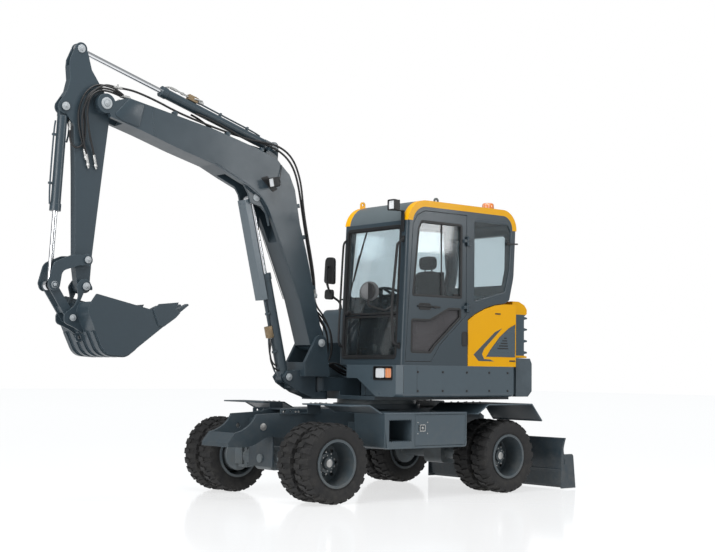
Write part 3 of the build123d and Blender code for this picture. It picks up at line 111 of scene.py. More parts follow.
# broad variation, edges lightened partly as wear and partly as painted highlight, grime low down and fine
# grain, all on Object coordinates
def makeSurfaceGroup():
    tree, source, out = newGroup(
        "surfaceMasks",
        [("Edge Width", "NodeSocketFloat", 0.005), ("Grime Height", "NodeSocketFloat", 0.9)],
        [("Variation", "NodeSocketFloat"), ("Edge", "NodeSocketFloat"), ("Grime", "NodeSocketFloat"),
         ("Fine", "NodeSocketFloat"), ("Normal", "NodeSocketVector"), ("Coords", "NodeSocketVector")],
    )
    coords = tree.nodes.new("ShaderNodeTexCoord").outputs["Object"]
    bevel = tree.nodes.new("ShaderNodeBevel")
    bevel.samples = 4
    tree.links.new(source.outputs["Edge Width"], bevel.inputs["Radius"])
    dot = tree.nodes.new("ShaderNodeVectorMath")
    dot.operation = "DOT_PRODUCT"
    tree.links.new(bevel.outputs[0], dot.inputs[0])
    tree.links.new(tree.nodes.new("ShaderNodeNewGeometry").outputs["Normal"], dot.inputs[1])
    broad = noiseNode(tree, coords, 2.3, 3.0)
    patches = noiseNode(tree, coords, 11.0, 5.0, 0.62)
    # the edge mask is patchy but reaches every rounded edge: partly wear, partly painted highlight where
    # edges catch the light
    bent = rangeNode(tree, dot.outputs["Value"], 0.99, 0.84)
    edge = mathNode(tree, "MULTIPLY", bent, rangeNode(tree, patches, 0.28, 0.6, 0.35, 1.0))
    split = tree.nodes.new("ShaderNodeSeparateXYZ")
    tree.links.new(coords, split.inputs[0])
    low = mathNode(tree, "DIVIDE", split.outputs["Z"], source.outputs["Grime Height"])
    grime = mathNode(tree, "MULTIPLY", rangeNode(tree, low, 1.0, 0.0), rangeNode(tree, patches, 0.38, 0.72))
    mixed = mathNode(tree, "ADD", mathNode(tree, "MULTIPLY", broad, 0.6),
                     mathNode(tree, "MULTIPLY", patches, 0.4))
    fine = noiseNode(tree, coords, 160.0, 3.0)
    for label, value in (("Variation", mixed), ("Edge", edge), ("Grime", grime), ("Fine", fine),
                         ("Normal", bevel.outputs[0]), ("Coords", coords)):
        tree.links.new(value, out.inputs[label])
    return tree


surfaceMasks = makeSurfaceGroup()


def startMaterial(name, edgeWidth=0.005, grimeHeight=0.9):
    material = bpy.data.materials.new(name)
    material.use_nodes = True
    tree = material.node_tree
    masks = tree.nodes.new("ShaderNodeGroup")
    masks.node_tree = surfaceMasks
    masks.inputs["Edge Width"].default_value = edgeWidth
    masks.inputs["Grime Height"].default_value = grimeHeight
    return material, tree, tree.nodes["Principled BSDF"], masks.outputs


# painted metal: base and second colour, pale edges that are partly wear and partly painted highlight, dust
# low down, faint orange peel
def paint(name, look):
    material, tree, shader, masks = startMaterial(name, look.get("edgeWidth", 0.005),
                                                  look.get("grimeHeight", 0.9))
    base, second, edge = look["base"], look["second"], look["edge"]
    if callable(base):
        base = base(tree, masks["Coords"])
        second = mixColour(tree, 0.18, base, (0.0, 0.0, 0.0, 1.0))
        # a paler edge colour: partly worn paint, partly painted highlight
        edge = mixColour(tree, 0.3, base, (1.0, 1.0, 1.0, 1.0))
    tone = mixColour(tree, rangeNode(tree, masks["Variation"], 0.36, 0.64, 0.0, look.get("vary", 0.5)), base,
                     second)
    # edges mixed towards the pale edge colour: partly wear, partly painted highlight
    wornAndHighlitEdge = mixColour(tree, mathNode(tree, "MULTIPLY", masks["Edge"], look.get("wear", 0.5)), tone, edge)
    dusty = mixColour(tree, mathNode(tree, "MULTIPLY", masks["Grime"], look.get("dust", 0.4)), wornAndHighlitEdge,
                      look["grime"])
    tree.links.new(dusty, shader.inputs["Base Color"])
    rough = look["rough"]
    mixedRough = mathNode(tree, "ADD", rangeNode(tree, masks["Variation"], 0.3, 0.7, rough - 0.06,
                                                 rough + 0.08),
                          mathNode(tree, "MULTIPLY", masks["Grime"], 0.2))
    tree.links.new(mixedRough, shader.inputs["Roughness"])
    shader.inputs["Metallic"].default_value = look.get("metal", 0.0)
    shader.inputs["Specular IOR Level"].default_value = look.get("specular", 0.4)
    shader.inputs["Coat Weight"].default_value = look.get("coat", 0.12)
    shader.inputs["Coat Roughness"].default_value = look.get("coatRough", 0.15)
    tree.links.new(bumpNode(tree, masks["Fine"], look.get("bump", 0.12), 0.0006, masks["Normal"]),
                   shader.inputs["Normal"])
    return material


skirtColour = (0.078, 0.110, 0.133, 1.0)
crownColour = (0.120, 0.148, 0.160, 1.0)
amberColour = (0.96, 0.47, 0.003, 1.0)
dustColour = (0.23, 0.22, 0.20, 1.0)


# a finish from its base, second and edge colours; the other values are those that paint reads
def finishLook(base, second, edge, **values):
    return {"base": (*base, 1.0), "second": (*second, 1.0), "edge": (*edge, 1.0), "grime": dustColour,
            **values}


# grey crown with amber along both sides and the rounded ends
def roofColour(tree, coords):
    split = tree.nodes.new("ShaderNodeSeparateXYZ")
    tree.links.new(coords, split.inputs[0])
    cabMiddle = 0.5185
    fromMiddle = mathNode(tree, "ABSOLUTE", mathNode(tree, "SUBTRACT", split.outputs["Y"], cabMiddle))
    return mixColour(tree, rangeNode(tree, fromMiddle, 0.392, 0.394), crownColour, amberColour)


# amber cap and sill, grey ribs between them
def hoodColour(tree, coords):
    split = tree.nodes.new("ShaderNodeSeparateXYZ")
    tree.links.new(coords, split.inputs[0])
    cap = rangeNode(tree, split.outputs["Z"], 1.788, 1.792)
    sill = rangeNode(tree, split.outputs["Z"], 1.374, 1.372)
    return mixColour(tree, mathNode(tree, "MAXIMUM", cap, sill), skirtColour, amberColour)


# each finish's pale edge colour stands partly for wear and partly for painted highlight
slateLook = finishLook((0.038, 0.058, 0.073), (0.029, 0.044, 0.056), (0.19, 0.25, 0.29), rough=0.36,
                       wear=0.55, dust=0.35)
amberLook = finishLook(amberColour[:3], (0.90, 0.41, 0.003), (0.98, 0.62, 0.10), rough=0.34, wear=0.35,
                       dust=0.15, specular=0.18, coat=0.04, vary=0.35)
finishes = {
    # key: material name, look
    "slate": ("slatePaint", slateLook),
    "amber": ("amberPaint", amberLook),
    "roof": ("roofPaint", dict(amberLook, base=roofColour, wear=0.3)),
    "hood": ("hoodPaint", dict(amberLook, base=hoodColour, wear=0.3)),
    "skirt": ("skirtPaint", dict(slateLook, base=skirtColour, second=(0.062, 0.088, 0.107, 1.0), rough=0.32)),
    # the chassis paint is set darker to match its sides in the shade under the upper body: painted shade
    "chassis": ("chassisPaintWithShade", dict(slateLook, base=(0.043, 0.063, 0.078, 1.0), dust=0.35, rough=0.38)),
    "tail": ("counterweightPaint", dict(slateLook, base=(0.084, 0.112, 0.132, 1.0), rough=0.5, bump=0.4)),
    "axle": ("axlePaint", finishLook((0.20, 0.235, 0.255), (0.14, 0.165, 0.18), (0.42, 0.46, 0.48),
                                     rough=0.45, wear=0.55, dust=0.6)),
    "rim": ("rimPaint", dict(slateLook, base=(0.085, 0.108, 0.122, 1.0), dust=0.5, grimeHeight=0.8)),
    "dark": ("blackPlastic", finishLook((0.014, 0.015, 0.016), (0.022, 0.023, 0.025), (0.07, 0.07, 0.075),
                                        rough=0.5, wear=0.5, dust=0.2, coat=0.0, bump=0.35)),
    "iron": ("engineIron", finishLook((0.05, 0.05, 0.052), (0.09, 0.08, 0.07), (0.2, 0.19, 0.18), rough=0.65,
                                      metal=0.4, coat=0.0, bump=0.5)),
    "rubber": ("tyreRubber", finishLook((0.012, 0.012, 0.013), (0.02, 0.02, 0.021), (0.06, 0.06, 0.06),
                                        rough=0.66, grime=(0.16, 0.15, 0.135, 1.0), wear=0.4, dust=0.28,
                                        coat=0.0, bump=0.5, edgeWidth=0.006)),
    "steel": ("brushedSteel", finishLook((0.55, 0.57, 0.59), (0.42, 0.44, 0.46), (0.8, 0.8, 0.8), rough=0.34,
                                         metal=0.9, coat=0.0, bump=0.3, edgeWidth=0.002)),
    "chrome": ("rodChrome", finishLook((0.78, 0.79, 0.81), (0.7, 0.71, 0.73), (0.9, 0.9, 0.9), rough=0.14,
                                       metal=1.0, coat=0.0, bump=0.05, dust=0.05, edgeWidth=0.001)),
    "zinc": ("zincPlate", finishLook((0.50, 0.50, 0.49), (0.36, 0.36, 0.35), (0.7, 0.7, 0.69), rough=0.38,
                                     metal=0.75, coat=0.0, bump=0.3, edgeWidth=0.001)),
    # pin caps are pale grey: partly their own colour, partly a painted highlight
    "pinCap": ("pinCapPaintAndHighlight", finishLook((0.42, 0.45, 0.47), (0.30, 0.33, 0.35), (0.7, 0.72, 0.73), rough=0.4,
                                         coat=0.1, bump=0.2, edgeWidth=0.002)),
    "brass": ("valveBrass", finishLook((0.30, 0.22, 0.13), (0.22, 0.16, 0.10), (0.5, 0.4, 0.27), rough=0.42,
                                       metal=0.5, coat=0.0, bump=0.4, edgeWidth=0.002)),
    "hose": ("hoseRubber", finishLook((0.012, 0.012, 0.013), (0.024, 0.024, 0.025), (0.05, 0.05, 0.05),
                                      rough=0.42, coat=0.0, bump=0.6, dust=0.1, edgeWidth=0.001)),
    "decal": ("stripeFilm", finishLook((0.066, 0.088, 0.104), (0.055, 0.075, 0.09), (0.12, 0.15, 0.17),
                                       rough=0.32, coat=0.3, bump=0.05, edgeWidth=0.0005)),
    "seatCloth": ("seatCloth", finishLook((0.013, 0.013, 0.014), (0.028, 0.028, 0.03), (0.03, 0.03, 0.03),
                                          rough=0.85, coat=0.0, bump=0.12, wear=0.05, dust=0.0,
                                          edgeWidth=0.004)),
    "coverPaint": ("coverPaint", dict(slateLook, base=(0.135, 0.17, 0.195, 1.0),
                                      second=(0.11, 0.14, 0.16, 1.0))),
    "lining": ("roofLining", finishLook((0.11, 0.115, 0.12), (0.08, 0.083, 0.088), (0.16, 0.16, 0.17),
                                        rough=0.8, coat=0.0, bump=0.6, wear=0.1, dust=0.0)),
    "mirror": ("mirrorGlass", finishLook((0.75, 0.78, 0.8), (0.7, 0.73, 0.75), (0.8, 0.8, 0.8), rough=0.06,
                                         metal=1.0, coat=0.0, bump=0.0, wear=0.0)),
    "mirrorShell": ("mirrorShell", finishLook((0.10, 0.105, 0.11), (0.085, 0.09, 0.095), (0.2, 0.2, 0.2),
                                              rough=0.4, dust=0.1, bump=0.2, edgeWidth=0.002)),
}
materials = {key: paint(name, look) for key, (name, look) in finishes.items()}


# tinted pane with faint smears; what isn't clear is dust that scatters
def glassMaterial(name, tint, rough=0.02, haze=0.25, clear=0.985):
    material, tree, shader, masks = startMaterial(name, 0.001)
    shader.inputs["Transmission Weight"].default_value = clear
    shader.inputs["IOR"].default_value = 1.45
    shader.inputs["Specular IOR Level"].default_value = 0.5
    smear = rangeNode(tree, masks["Variation"], 0.35, 0.7, 0.0, haze)
    tree.links.new(mixColour(tree, smear, tint, (0.72, 0.76, 0.78, 1.0)), shader.inputs["Base Color"])
    tree.links.new(rangeNode(tree, masks["Variation"], 0.3, 0.7, rough, rough + 0.06),
                   shader.inputs["Roughness"])
    return material


# moulded lamp lens with fine vertical ribs, paler rib crests as painted highlight and a faint glow as painted
# light
def lensMaterial(name, tint, paintedGlow=0.12, ribs=260.0):
    material, tree, shader, masks = startMaterial(name, 0.001)
    split = tree.nodes.new("ShaderNodeSeparateXYZ")
    tree.links.new(masks["Coords"], split.inputs[0])
    wave = mathNode(tree, "SINE", mathNode(tree, "MULTIPLY", split.outputs["Y"], ribs))
    tree.links.new(bumpNode(tree, wave, 0.5, 0.001, masks["Normal"]), shader.inputs["Normal"])
    # rib crests painted paler: painted highlight
    pale = mixColour(tree, rangeNode(tree, wave, -1.0, 1.0, 0.0, 0.35), tint, (0.95, 0.95, 0.95, 1.0))
    tree.links.new(pale, shader.inputs["Base Color"])
    # a faint glow in the lens's own tint: painted light
    for socket, value in (("Roughness", 0.12), ("Coat Weight", 0.8), ("Coat Roughness", 0.04),
                          ("Emission Color", tint), ("Emission Strength", paintedGlow)):
        shader.inputs[socket].default_value = value
    return material


materials["glass"] = glassMaterial("cabGlass", (0.66, 0.74, 0.77, 1.0))
materials["darkGlass"] = glassMaterial("lowerDoorGlass", (0.19, 0.18, 0.19, 1.0), 0.05, 0.1, 0.62)
materials["clearLens"] = lensMaterial("clearLens", (0.80, 0.82, 0.84, 1.0))
materials["orangeLens"] = lensMaterial("orangeLens", (0.86, 0.23, 0.02, 1.0))

nodeLooks = {
    "skirt": ("lower_body", "right_body", "right_hood", "toolbox_left", "toolbox_door", "toolbox_right"),
    "slate": ("upper_frame", "cab_shell", "cab_door", "swing_post", "boom", "arm", "rocker", "bucket_link",
              "bucket", "boom_cylinder_barrel", "arm_cylinder_barrel", "bucket_cylinder_barrel"),
    # the chassis nodes take that darker paint, which holds painted shade
    "chassis": ("chassis_frame", "frame_side_left", "frame_side_right", "axle_hanger", "bumper",
                "front_fenders", "rear_fenders", "blade", "blade_cylinder_barrel"),
    "rim": ("rim_front_left", "rim_front_right", "rim_rear_left", "rim_rear_right"),
    "amber": ("side_hood",),
    "hood": ("rear_hood",),
    "roof": ("cab_roof",),
    "tail": ("counterweight",),
    "axle": ("front_axle", "rear_axle", "knuckle_left", "knuckle_right", "tie_rod", "slew_ring"),
    "chrome": ("boom_cylinder_rod", "arm_cylinder_rod", "bucket_cylinder_rod", "blade_cylinder_rod"),
    "rubber": ("tyres_front_left", "tyres_front_right", "tyres_rear_left", "tyres_rear_right"),
    "iron": ("engine_block",),
    "dark": ("seat", "console", "cab_fittings"),
}
for look, names in nodeLooks.items():
    for name in names:
        for slot in nodes[name].material_slots:
            slot.link = "OBJECT"
            slot.material = materials[look]
print("stage: materials on", sum(len(names) for names in nodeLooks.values()), "nodes")


def deselectAll():
    if bpy.context.object and bpy.context.object.mode != "OBJECT":
        bpy.ops.object.mode_set(mode="OBJECT")
    bpy.ops.object.select_all(action="DESELECT")


def makeActive(piece):
    deselectAll()
    piece.select_set(True)
    bpy.context.view_layer.objects.active = piece


def bevelEdges(piece, width, segments=2, angle=35.0):
    makeActive(piece)
    bevel = piece.modifiers.new("softEdges", "BEVEL")
    bevel.width = width
    bevel.segments = segments
    bevel.limit_method = "ANGLE"
    bevel.angle_limit = math.radians(angle)
    bpy.ops.object.modifier_apply(modifier=bevel.name)


def boxPiece(low, high, bevel=0.003, segments=2):
    deselectAll()
    middle = [(a + b) / 2 for a, b in zip(low, high)]
    bpy.ops.mesh.primitive_cube_add(size=1, location=middle, scale=[b - a for a, b in zip(low, high)])
    bpy.ops.object.transform_apply(location=True, rotation=True, scale=True)
    piece = bpy.context.object
    if bevel:
        bevelEdges(piece, bevel, segments)
    return piece


# round bar or cone between two points
def barPiece(start, end, radius, bevel=0.0, vertices=24, tipRadius=None):
    deselectAll()
    start, end = Vector(start), Vector(end)
    turn = (end - start).to_track_quat("Z", "Y").to_euler()
    bpy.ops.mesh.primitive_cone_add(vertices=vertices, radius1=radius,
                                    radius2=radius if tipRadius is None else tipRadius,
                                    depth=(end - start).length, location=(start + end) / 2, rotation=turn)
    bpy.ops.object.transform_apply(location=True, rotation=True, scale=True)
    piece = bpy.context.object
    if bevel:
        bevelEdges(piece, bevel, 2)
    return piece


# corner points with an arc of its own radius at each
def roundedOutline(points, radii, steps=5):
    outline = []
    count = len(points)
    for index, (point, radius) in enumerate(zip(points, radii)):
        here = Vector(point)
        before = Vector(points[index - 1]) - here
        after = Vector(points[(index + 1) % count]) - here
        half = before.angle(after) / 2
        reach = min(radius / math.tan(half), 0.48 * before.length, 0.48 * after.length) if radius else 0.0
        if reach < 0.0005:
            outline.append(tuple(here))
            continue
        first = here + before.normalized() * reach
        last = here + after.normalized() * reach
        for step in range(steps + 1):
            share = step / steps
            curved = first * (1 - share) ** 2 + here * 2 * share * (1 - share) + last * share ** 2
            outline.append(tuple(curved))
    return outline


# a rectangle between two corners, each rounded
def roundedRectangle(lowA, lowB, highA, highB, radius, steps=5):
    corners = ((lowA, lowB), (highA, lowB), (highA, highB), (lowA, highB))
    return roundedOutline(corners, (radius,) * 4, steps)


# an outline's (a, b) points as one flat face across an axis; a and b are the other two axes in order
def flatFace(outline, axis, low):
    deselectAll()
    bpy.ops.mesh.primitive_circle_add(vertices=len(outline), radius=1, fill_type="NGON")
    piece = bpy.context.object
    for vertex, (a, b) in zip(piece.data.vertices, outline):
        place = [a, b]
        place.insert(axis, low)
        vertex.co = place
    bpy.ops.object.mode_set(mode="EDIT")
    bpy.ops.mesh.select_all(action="SELECT")
    return piece


# what is selected gets its thickness along an axis, faces outwards and soft edges
def thicken(piece, axis, distance, bevel, segments):
    move = [0, 0, 0]
    move[axis] = distance
    bpy.ops.mesh.extrude_region_move(TRANSFORM_OT_translate={"value": move})
    bpy.ops.mesh.select_all(action="SELECT")
    bpy.ops.mesh.normals_make_consistent(inside=False)
    bpy.ops.object.mode_set(mode="OBJECT")
    if bevel:
        bevelEdges(piece, bevel, segments)
    return piece


def platePiece(outline, axis, low, high, bevel=0.0, segments=1):
    return thicken(flatFace(outline, axis, low), axis, high - low, bevel, segments)


# a flat ring that follows an outline, as a seal or a trim does
def framePiece(outline, axis, low, high, width, bevel=0.0):
    piece = flatFace(outline, axis, low)
    bpy.ops.mesh.inset(thickness=width, use_even_offset=True)
    bpy.ops.mesh.delete(type="FACE")
    bpy.ops.mesh.select_all(action="SELECT")
    return thicken(piece, axis, high - low, bevel, 2)


# a smooth line along control points
def smoothLine(name, points):
    curve = bpy.data.curves.new(name, "CURVE")
    curve.dimensions = "3D"
    spline = curve.splines.new("NURBS")
    spline.points.add(len(points) - 1)
    for point, place in zip(spline.points, points):
        point.co = (*place, 1.0)
    spline.order_u = 3
    spline.use_endpoint_u = True
    spline.resolution_u = 5
    line = bpy.data.objects.new(name, curve)
    bpy.context.scene.collection.objects.link(line)
    return line


# a round section along a line, closed at its ends and made a mesh
def sweepLine(line, radius, resolution):
    line.data.bevel_depth = radius
    line.data.bevel_resolution = resolution
    line.data.use_fill_caps = True
    makeActive(line)
    bpy.ops.object.convert(target="MESH")
    return bpy.context.object


def tubePiece(points, radius, resolution=3):
    return sweepLine(smoothLine("pipe", points), radius, resolution)


def copyPiece(piece, transform):
    copied = piece.copy()
    copied.data = piece.data.copy()
    copied.data.transform(transform)
    bpy.context.scene.collection.objects.link(copied)
    return copied


def joinPieces(pieces):
    deselectAll()
    for piece in pieces:
        piece.select_set(True)
    bpy.context.view_layer.objects.active = pieces[0]
    bpy.ops.object.join()
    return bpy.context.object


def mendNormals(piece):
    makeActive(piece)
    bpy.ops.object.mode_set(mode="EDIT")
    bpy.ops.mesh.select_all(action="SELECT")
    bpy.ops.mesh.remove_doubles(threshold=0.00001)
    bpy.ops.mesh.normals_make_consistent(inside=False)
    bpy.ops.object.mode_set(mode="OBJECT")


# the slot listed for each finish, looked up where a piece names none
slotLooks = {
    "axle_grey": ("brass", "pinCap", "steel"),
    "engine_iron": ("iron",),
    "rod_chrome": ("zinc",),
    "seat_black": ("seatCloth",),
    "slate_paint": ("chassis", "coverPaint", "decal", "skirt", "slate"),
    "trim_black": ("clearLens", "dark", "glass", "hose", "lining", "mirror", "mirrorShell", "orangeLens"),
    "tyre_rubber": ("rubber",),
}
slotOf = {look: slot for slot, looks in slotLooks.items() for look in looks}


# name, finish, smooth shading, the body that a piece rides on and the nodes it replaces; a slot is looked up
# and not used
def finishPiece(piece, name, look, body, slot=None, angle=35.0, nodeNames=()):
    slot = slot or slotOf[look]
    piece.name = name
    piece.data.name = name
    piece.data.materials.clear()
    piece.data.materials.append(materials[look])
    makeActive(piece)
    if piece.type == "MESH":
        bpy.ops.object.shade_smooth_by_angle(angle=math.radians(angle))
    if body:
        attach(piece, body)
    if nodeNames:
        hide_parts(*nodeNames)
    return piece


# tyres: a carcass spun from its section, with two rows of lugs that are offset by half a pitch
tyre = {
    "axleX": {"front": 1.3, "rear": -0.9},
    "axleZ": 0.365,
    "middles": (0.8975, 0.6425),
    "lugs": 23,
    "section": ((0.0735, 0.2056), (0.080, 0.212), (0.083, 0.224), (0.0805, 0.228), (0.088, 0.240),
                (0.0965, 0.262), (0.1005, 0.285), (0.1015, 0.300), (0.1000, 0.316), (0.0955, 0.329),
                (0.086, 0.340), (0.060, 0.346), (0.030, 0.348), (0.0, 0.3485)),
    "lugOutline": ((-0.0275, 0.1005), (-0.029, 0.062), (-0.021, 0.030), (-0.024, 0.008), (-0.006, -0.007),
                   (0.014, -0.004), (0.022, 0.014), (0.023, 0.034), (0.0295, 0.064), (0.0285, 0.1005)),
    "lugFoot": 0.338,
    "lugTop": 0.3646,
    "shoulderDrop": 0.020,
}


def makeLug(side):
    outline = [(along, side * across) for along, across in tyre["lugOutline"]]
    lug = platePiece(outline, 2, tyre["lugFoot"], tyre["lugTop"])
    for vertex in lug.data.vertices:
        if abs(vertex.co.y) > 0.09:
            vertex.co.z -= tyre["shoulderDrop"] if vertex.co.z > 0.35 else 0.03
        elif vertex.co.z > 0.35:
            vertex.co.x *= 0.9
    bevelEdges(lug, 0.0022, 1, 40)
    return lug


def makeTyre():
    deselectAll()
    half = list(tyre["section"])
    section = [(-y, r) for y, r in half[:-1]] + [(y, r) for y, r in reversed(half)]
    bpy.ops.mesh.primitive_circle_add(vertices=len(section), radius=1, fill_type="NOTHING")
    carcass = bpy.context.object
    for vertex, (y, r) in zip(carcass.data.vertices, section):
        vertex.co = (0, y, r)
    bpy.ops.object.mode_set(mode="EDIT")
    bpy.ops.mesh.select_all(action="SELECT")
    bpy.ops.mesh.spin(steps=72, angle=math.tau, center=(0, 0, 0), axis=(0, 1, 0))
    bpy.ops.object.mode_set(mode="OBJECT")
    mendNormals(carcass)
    parts = [carcass]
    pitch = math.tau / tyre["lugs"]
    for side, shift in ((1, 0.0), (-1, 0.5)):
        lug = makeLug(side)
        for index in range(tyre["lugs"]):
            parts.append(copyPiece(lug, Matrix.Rotation((index + shift) * pitch, 4, "Y")))
        bpy.data.objects.remove(lug)
    return joinPieces(parts)


oneTyre = makeTyre()
for end, axleX in tyre["axleX"].items():
    for sideName, side in (("left", 1), ("right", -1)):
        twins = []
        for middle in tyre["middles"]:
            place = Matrix.Translation((axleX, side * middle, tyre["axleZ"]))
            twins.append(copyPiece(oneTyre, place @ Matrix.Rotation(random.uniform(0, 6.28), 4, "Y")))
        corner = f"{end}_{sideName}"
        finishPiece(joinPieces(twins), f"tread_{corner}", "rubber", f"wheel_{corner}", "tyre_rubber", 28,
                    (f"tyres_{corner}",))
bpy.data.objects.remove(oneTyre)
print("stage: tyres")

# wheel nuts, hub bolts and the valve of each wheel
wheelTrim = {"nutRing": 0.0995, "nutY": 0.8145, "nuts": 10, "nutRadius": 0.0095, "boltRing": 0.068,
             "boltY": 0.839, "bolts": 8, "boltRadius": 0.006, "capY": 0.8725, "capRadius": 0.036}
for end, axleX in tyre["axleX"].items():
    for sideName, side in (("left", 1), ("right", -1)):
        parts = []
        centre = Vector((axleX, 0, tyre["axleZ"]))
        for ring, y, count, radius, tall in (
            (wheelTrim["nutRing"], wheelTrim["nutY"], wheelTrim["nuts"], wheelTrim["nutRadius"], 0.014),
            (wheelTrim["boltRing"], wheelTrim["boltY"], wheelTrim["bolts"], wheelTrim["boltRadius"], 0.008),
        ):
            bolt = barPiece((0, side * (y - 0.006), ring), (0, side * (y + tall), ring), radius, 0.0012, 6)
            for index in range(count):
                turn = Matrix.Translation(centre) @ Matrix.Rotation(index * math.tau / count, 4, "Y")
                parts.append(copyPiece(bolt, turn))
            bpy.data.objects.remove(bolt)
        capFoot, capTop = (centre + Vector((0, side * (wheelTrim["capY"] + step), 0)) for step in (0, 0.006))
        parts.append(barPiece(capFoot, capTop, wheelTrim["capRadius"], 0.003))
        parts.append(tubePiece([centre + Vector(step) for step in (
            (0.165, side * 0.778, 0.02), (0.168, side * 0.80, 0.02), (0.176, side * 0.835, 0.022))], 0.004))
        corner = f"{end}_{sideName}"
        finishPiece(joinPieces(parts), f"wheel_nuts_{corner}", "zinc", f"wheel_{corner}")
print("stage: wheel nuts")

# cab glass: panes a little inside the wall, with a rubber seal round each
cabGlass = {
    "pane": 0.005,
    "seal": 0.024,
    "windows": (
        # name, body, look, axis, pane at, seal low, seal high, corners, radii
        ("door_upper", "cab_door", "glass", 1, 0.962, 0.955, 0.9872,
         ((0.421, 1.909), (0.351, 2.561), (0.311, 2.641), (-0.241, 2.641), (-0.241, 1.909)),
         (0.03, 0.06, 0.04, 0.04, 0.03)),
        ("door_lower", "cab_door", "darkGlass", 1, 0.962, 0.958, 0.9865,
         ((0.436, 1.369), (0.431, 1.701), (0.190, 1.701), (-0.060, 1.821), (-0.231, 1.821), (-0.231, 1.720),
          (0.110, 1.440), (0.170, 1.369)), (0.03, 0.03, 0.06, 0.03, 0.03, 0.03, 0.03, 0.03)),
        ("quarter", "upper", "glass", 1, 0.972, 0.966, 0.9866,
         ((-0.384, 2.707), (-0.896, 2.707), (-0.947, 2.620), (-0.927, 2.240), (-0.857, 1.984),
          (-0.384, 1.867)),
         (0.04, 0.07, 0.06, 0.08, 0.06, 0.04)),
        ("right", "upper", "glass", 1, 0.066, 0.0503, 0.078,
         ((0.361, 2.681), (-0.881, 2.691), (-0.927, 2.240), (-0.851, 1.989), (0.441, 1.899)),
         (0.07, 0.06, 0.06, 0.06, 0.06)),
    ),
}
for name, body, look, axis, at, sealLow, sealHigh, corners, radii in cabGlass["windows"]:
    outline = roundedOutline(corners, radii, 6)
    pane = platePiece(outline, axis, at, at + cabGlass["pane"])
    finishPiece(pane, f"glass_{name}", look, body, "trim_black")
    seal = framePiece(outline, axis, sealLow, sealHigh, cabGlass["seal"], 0.004)
    finishPiece(seal, f"seal_{name}", "slate" if name == "quarter" else "dark", body, "trim_black")

# the windscreen leans back with the cab's front face; it is modelled upright and then sheared over
screen = {"foot": (0.5395, 1.2875), "brow": (0.4785, 2.630), "y": (0.108, 0.887), "z": (1.330, 2.575),
          "split": 1.735, "sunk": 0.022, "pane": 0.006}


def leanX(z):
    share = (z - screen["foot"][1]) / (screen["brow"][1] - screen["foot"][1])
    return screen["foot"][0] + (screen["brow"][0] - screen["foot"][0]) * share


def leanBack(piece, sunk=0.0):
    for vertex in piece.data.vertices:
        vertex.co.x += leanX(vertex.co.z) - sunk
    return piece


def screenOutline(zLow, zHigh, grow=0.0, radius=0.035):
    yLow, yHigh = screen["y"]
    return roundedRectangle(yLow - grow, zLow - grow, yHigh + grow, zHigh + grow, radius, 6)


halfGap = 0.004  # between each of the two panes and the split
for name, zLow, zHigh in (("upper", screen["split"] + halfGap, screen["z"][1]),
                          ("lower", screen["z"][0], screen["split"] - halfGap)):
    pane = leanBack(platePiece(screenOutline(zLow, zHigh), 0, 0.0, screen["pane"]), screen["sunk"])
    finishPiece(pane, f"windscreen_{name}", "glass", "upper")
    seal = framePiece(screenOutline(zLow, zHigh), 0, -0.012, 0.010, 0.022, 0.003)
    seal = leanBack(seal, screen["sunk"] - 0.004)
    finishPiece(seal, f"windscreen_seal_{name}", "dark", "upper")
surround = framePiece(screenOutline(*screen["z"], 0.018, 0.05), 0, -0.004, 0.0045, 0.028, 0.003)
finishPiece(leanBack(surround), "windscreen_surround", "dark", "upper")
rearPane = platePiece(roundedRectangle(0.160, 2.080, 0.877, 2.590, 0.04), 0, -0.958, -0.953)
for vertex in rearPane.data.vertices:
    vertex.co.x -= 0.021 * (vertex.co.z - 2.08) / 0.51
finishPiece(rearPane, "glass_rear", "glass", "upper")
print("stage: cab glass")

# wiper: arm and blade on the windscreen, parked at its right side
wiper = {"pivot": (0.165, 1.765), "tip": (0.300, 2.330), "bladeLow": (0.215, 2.080),
         "bladeHigh": (0.385, 2.560)}


def onScreen(place, proud):
    y, z = place
    return (leanX(z) - screen["sunk"] + screen["pane"] + proud, y, z)


wiperParts = [
    barPiece(onScreen(wiper["pivot"], -0.004), onScreen(wiper["pivot"], 0.040), 0.020, 0.003),
    tubePiece([onScreen(wiper["pivot"], 0.034), onScreen((0.19, 1.90), 0.045), onScreen(wiper["tip"], 0.022)],
              0.006),
]
for ends, middle, radius in ((0.012, 0.020, 0.005), (0.005, 0.009, 0.004)):
    wiperParts.append(tubePiece([onScreen(wiper["bladeLow"], ends), onScreen(wiper["tip"], middle),
                                 onScreen(wiper["bladeHigh"], ends)], radius))
finishPiece(joinPieces(wiperParts), "wiper", "dark", "upper")

# door handle with its dished grip and the lock, the window's slider, the seal in the door gap
doorFace = 0.987
dish = platePiece(roundedRectangle(0.175, 1.785, 0.335, 1.850, 0.03), 1,
                  doorFace - 0.004, doorFace + 0.005, 0.003)
grip = tubePiece([(0.345, 0.990, 1.818), (0.350, 1.002, 1.818), (0.250, 1.004, 1.824), (0.165, 1.002, 1.818),
                  (0.160, 0.990, 1.818)], 0.009)
leverTip = boxPiece((0.055, 0.986, 1.806), (0.150, 0.996, 1.824), 0.004)
lock = barPiece((0.120, 0.986, 1.815), (0.120, 0.999, 1.815), 0.014, 0.003)
finishPiece(joinPieces([dish, grip, leverTip, lock]), "door_handle", "dark", "cab_door")
slider = boxPiece((0.020, 0.967, 1.930), (0.034, 0.975, 2.620), 0.003)
knob = boxPiece((0.395, 0.967, 2.235), (0.430, 0.985, 2.290), 0.006)
catch = boxPiece((-0.200, 0.967, 1.935), (-0.130, 0.980, 1.955), 0.004)
finishPiece(joinPieces([slider, knob, catch]), "window_slider", "dark", "cab_door")
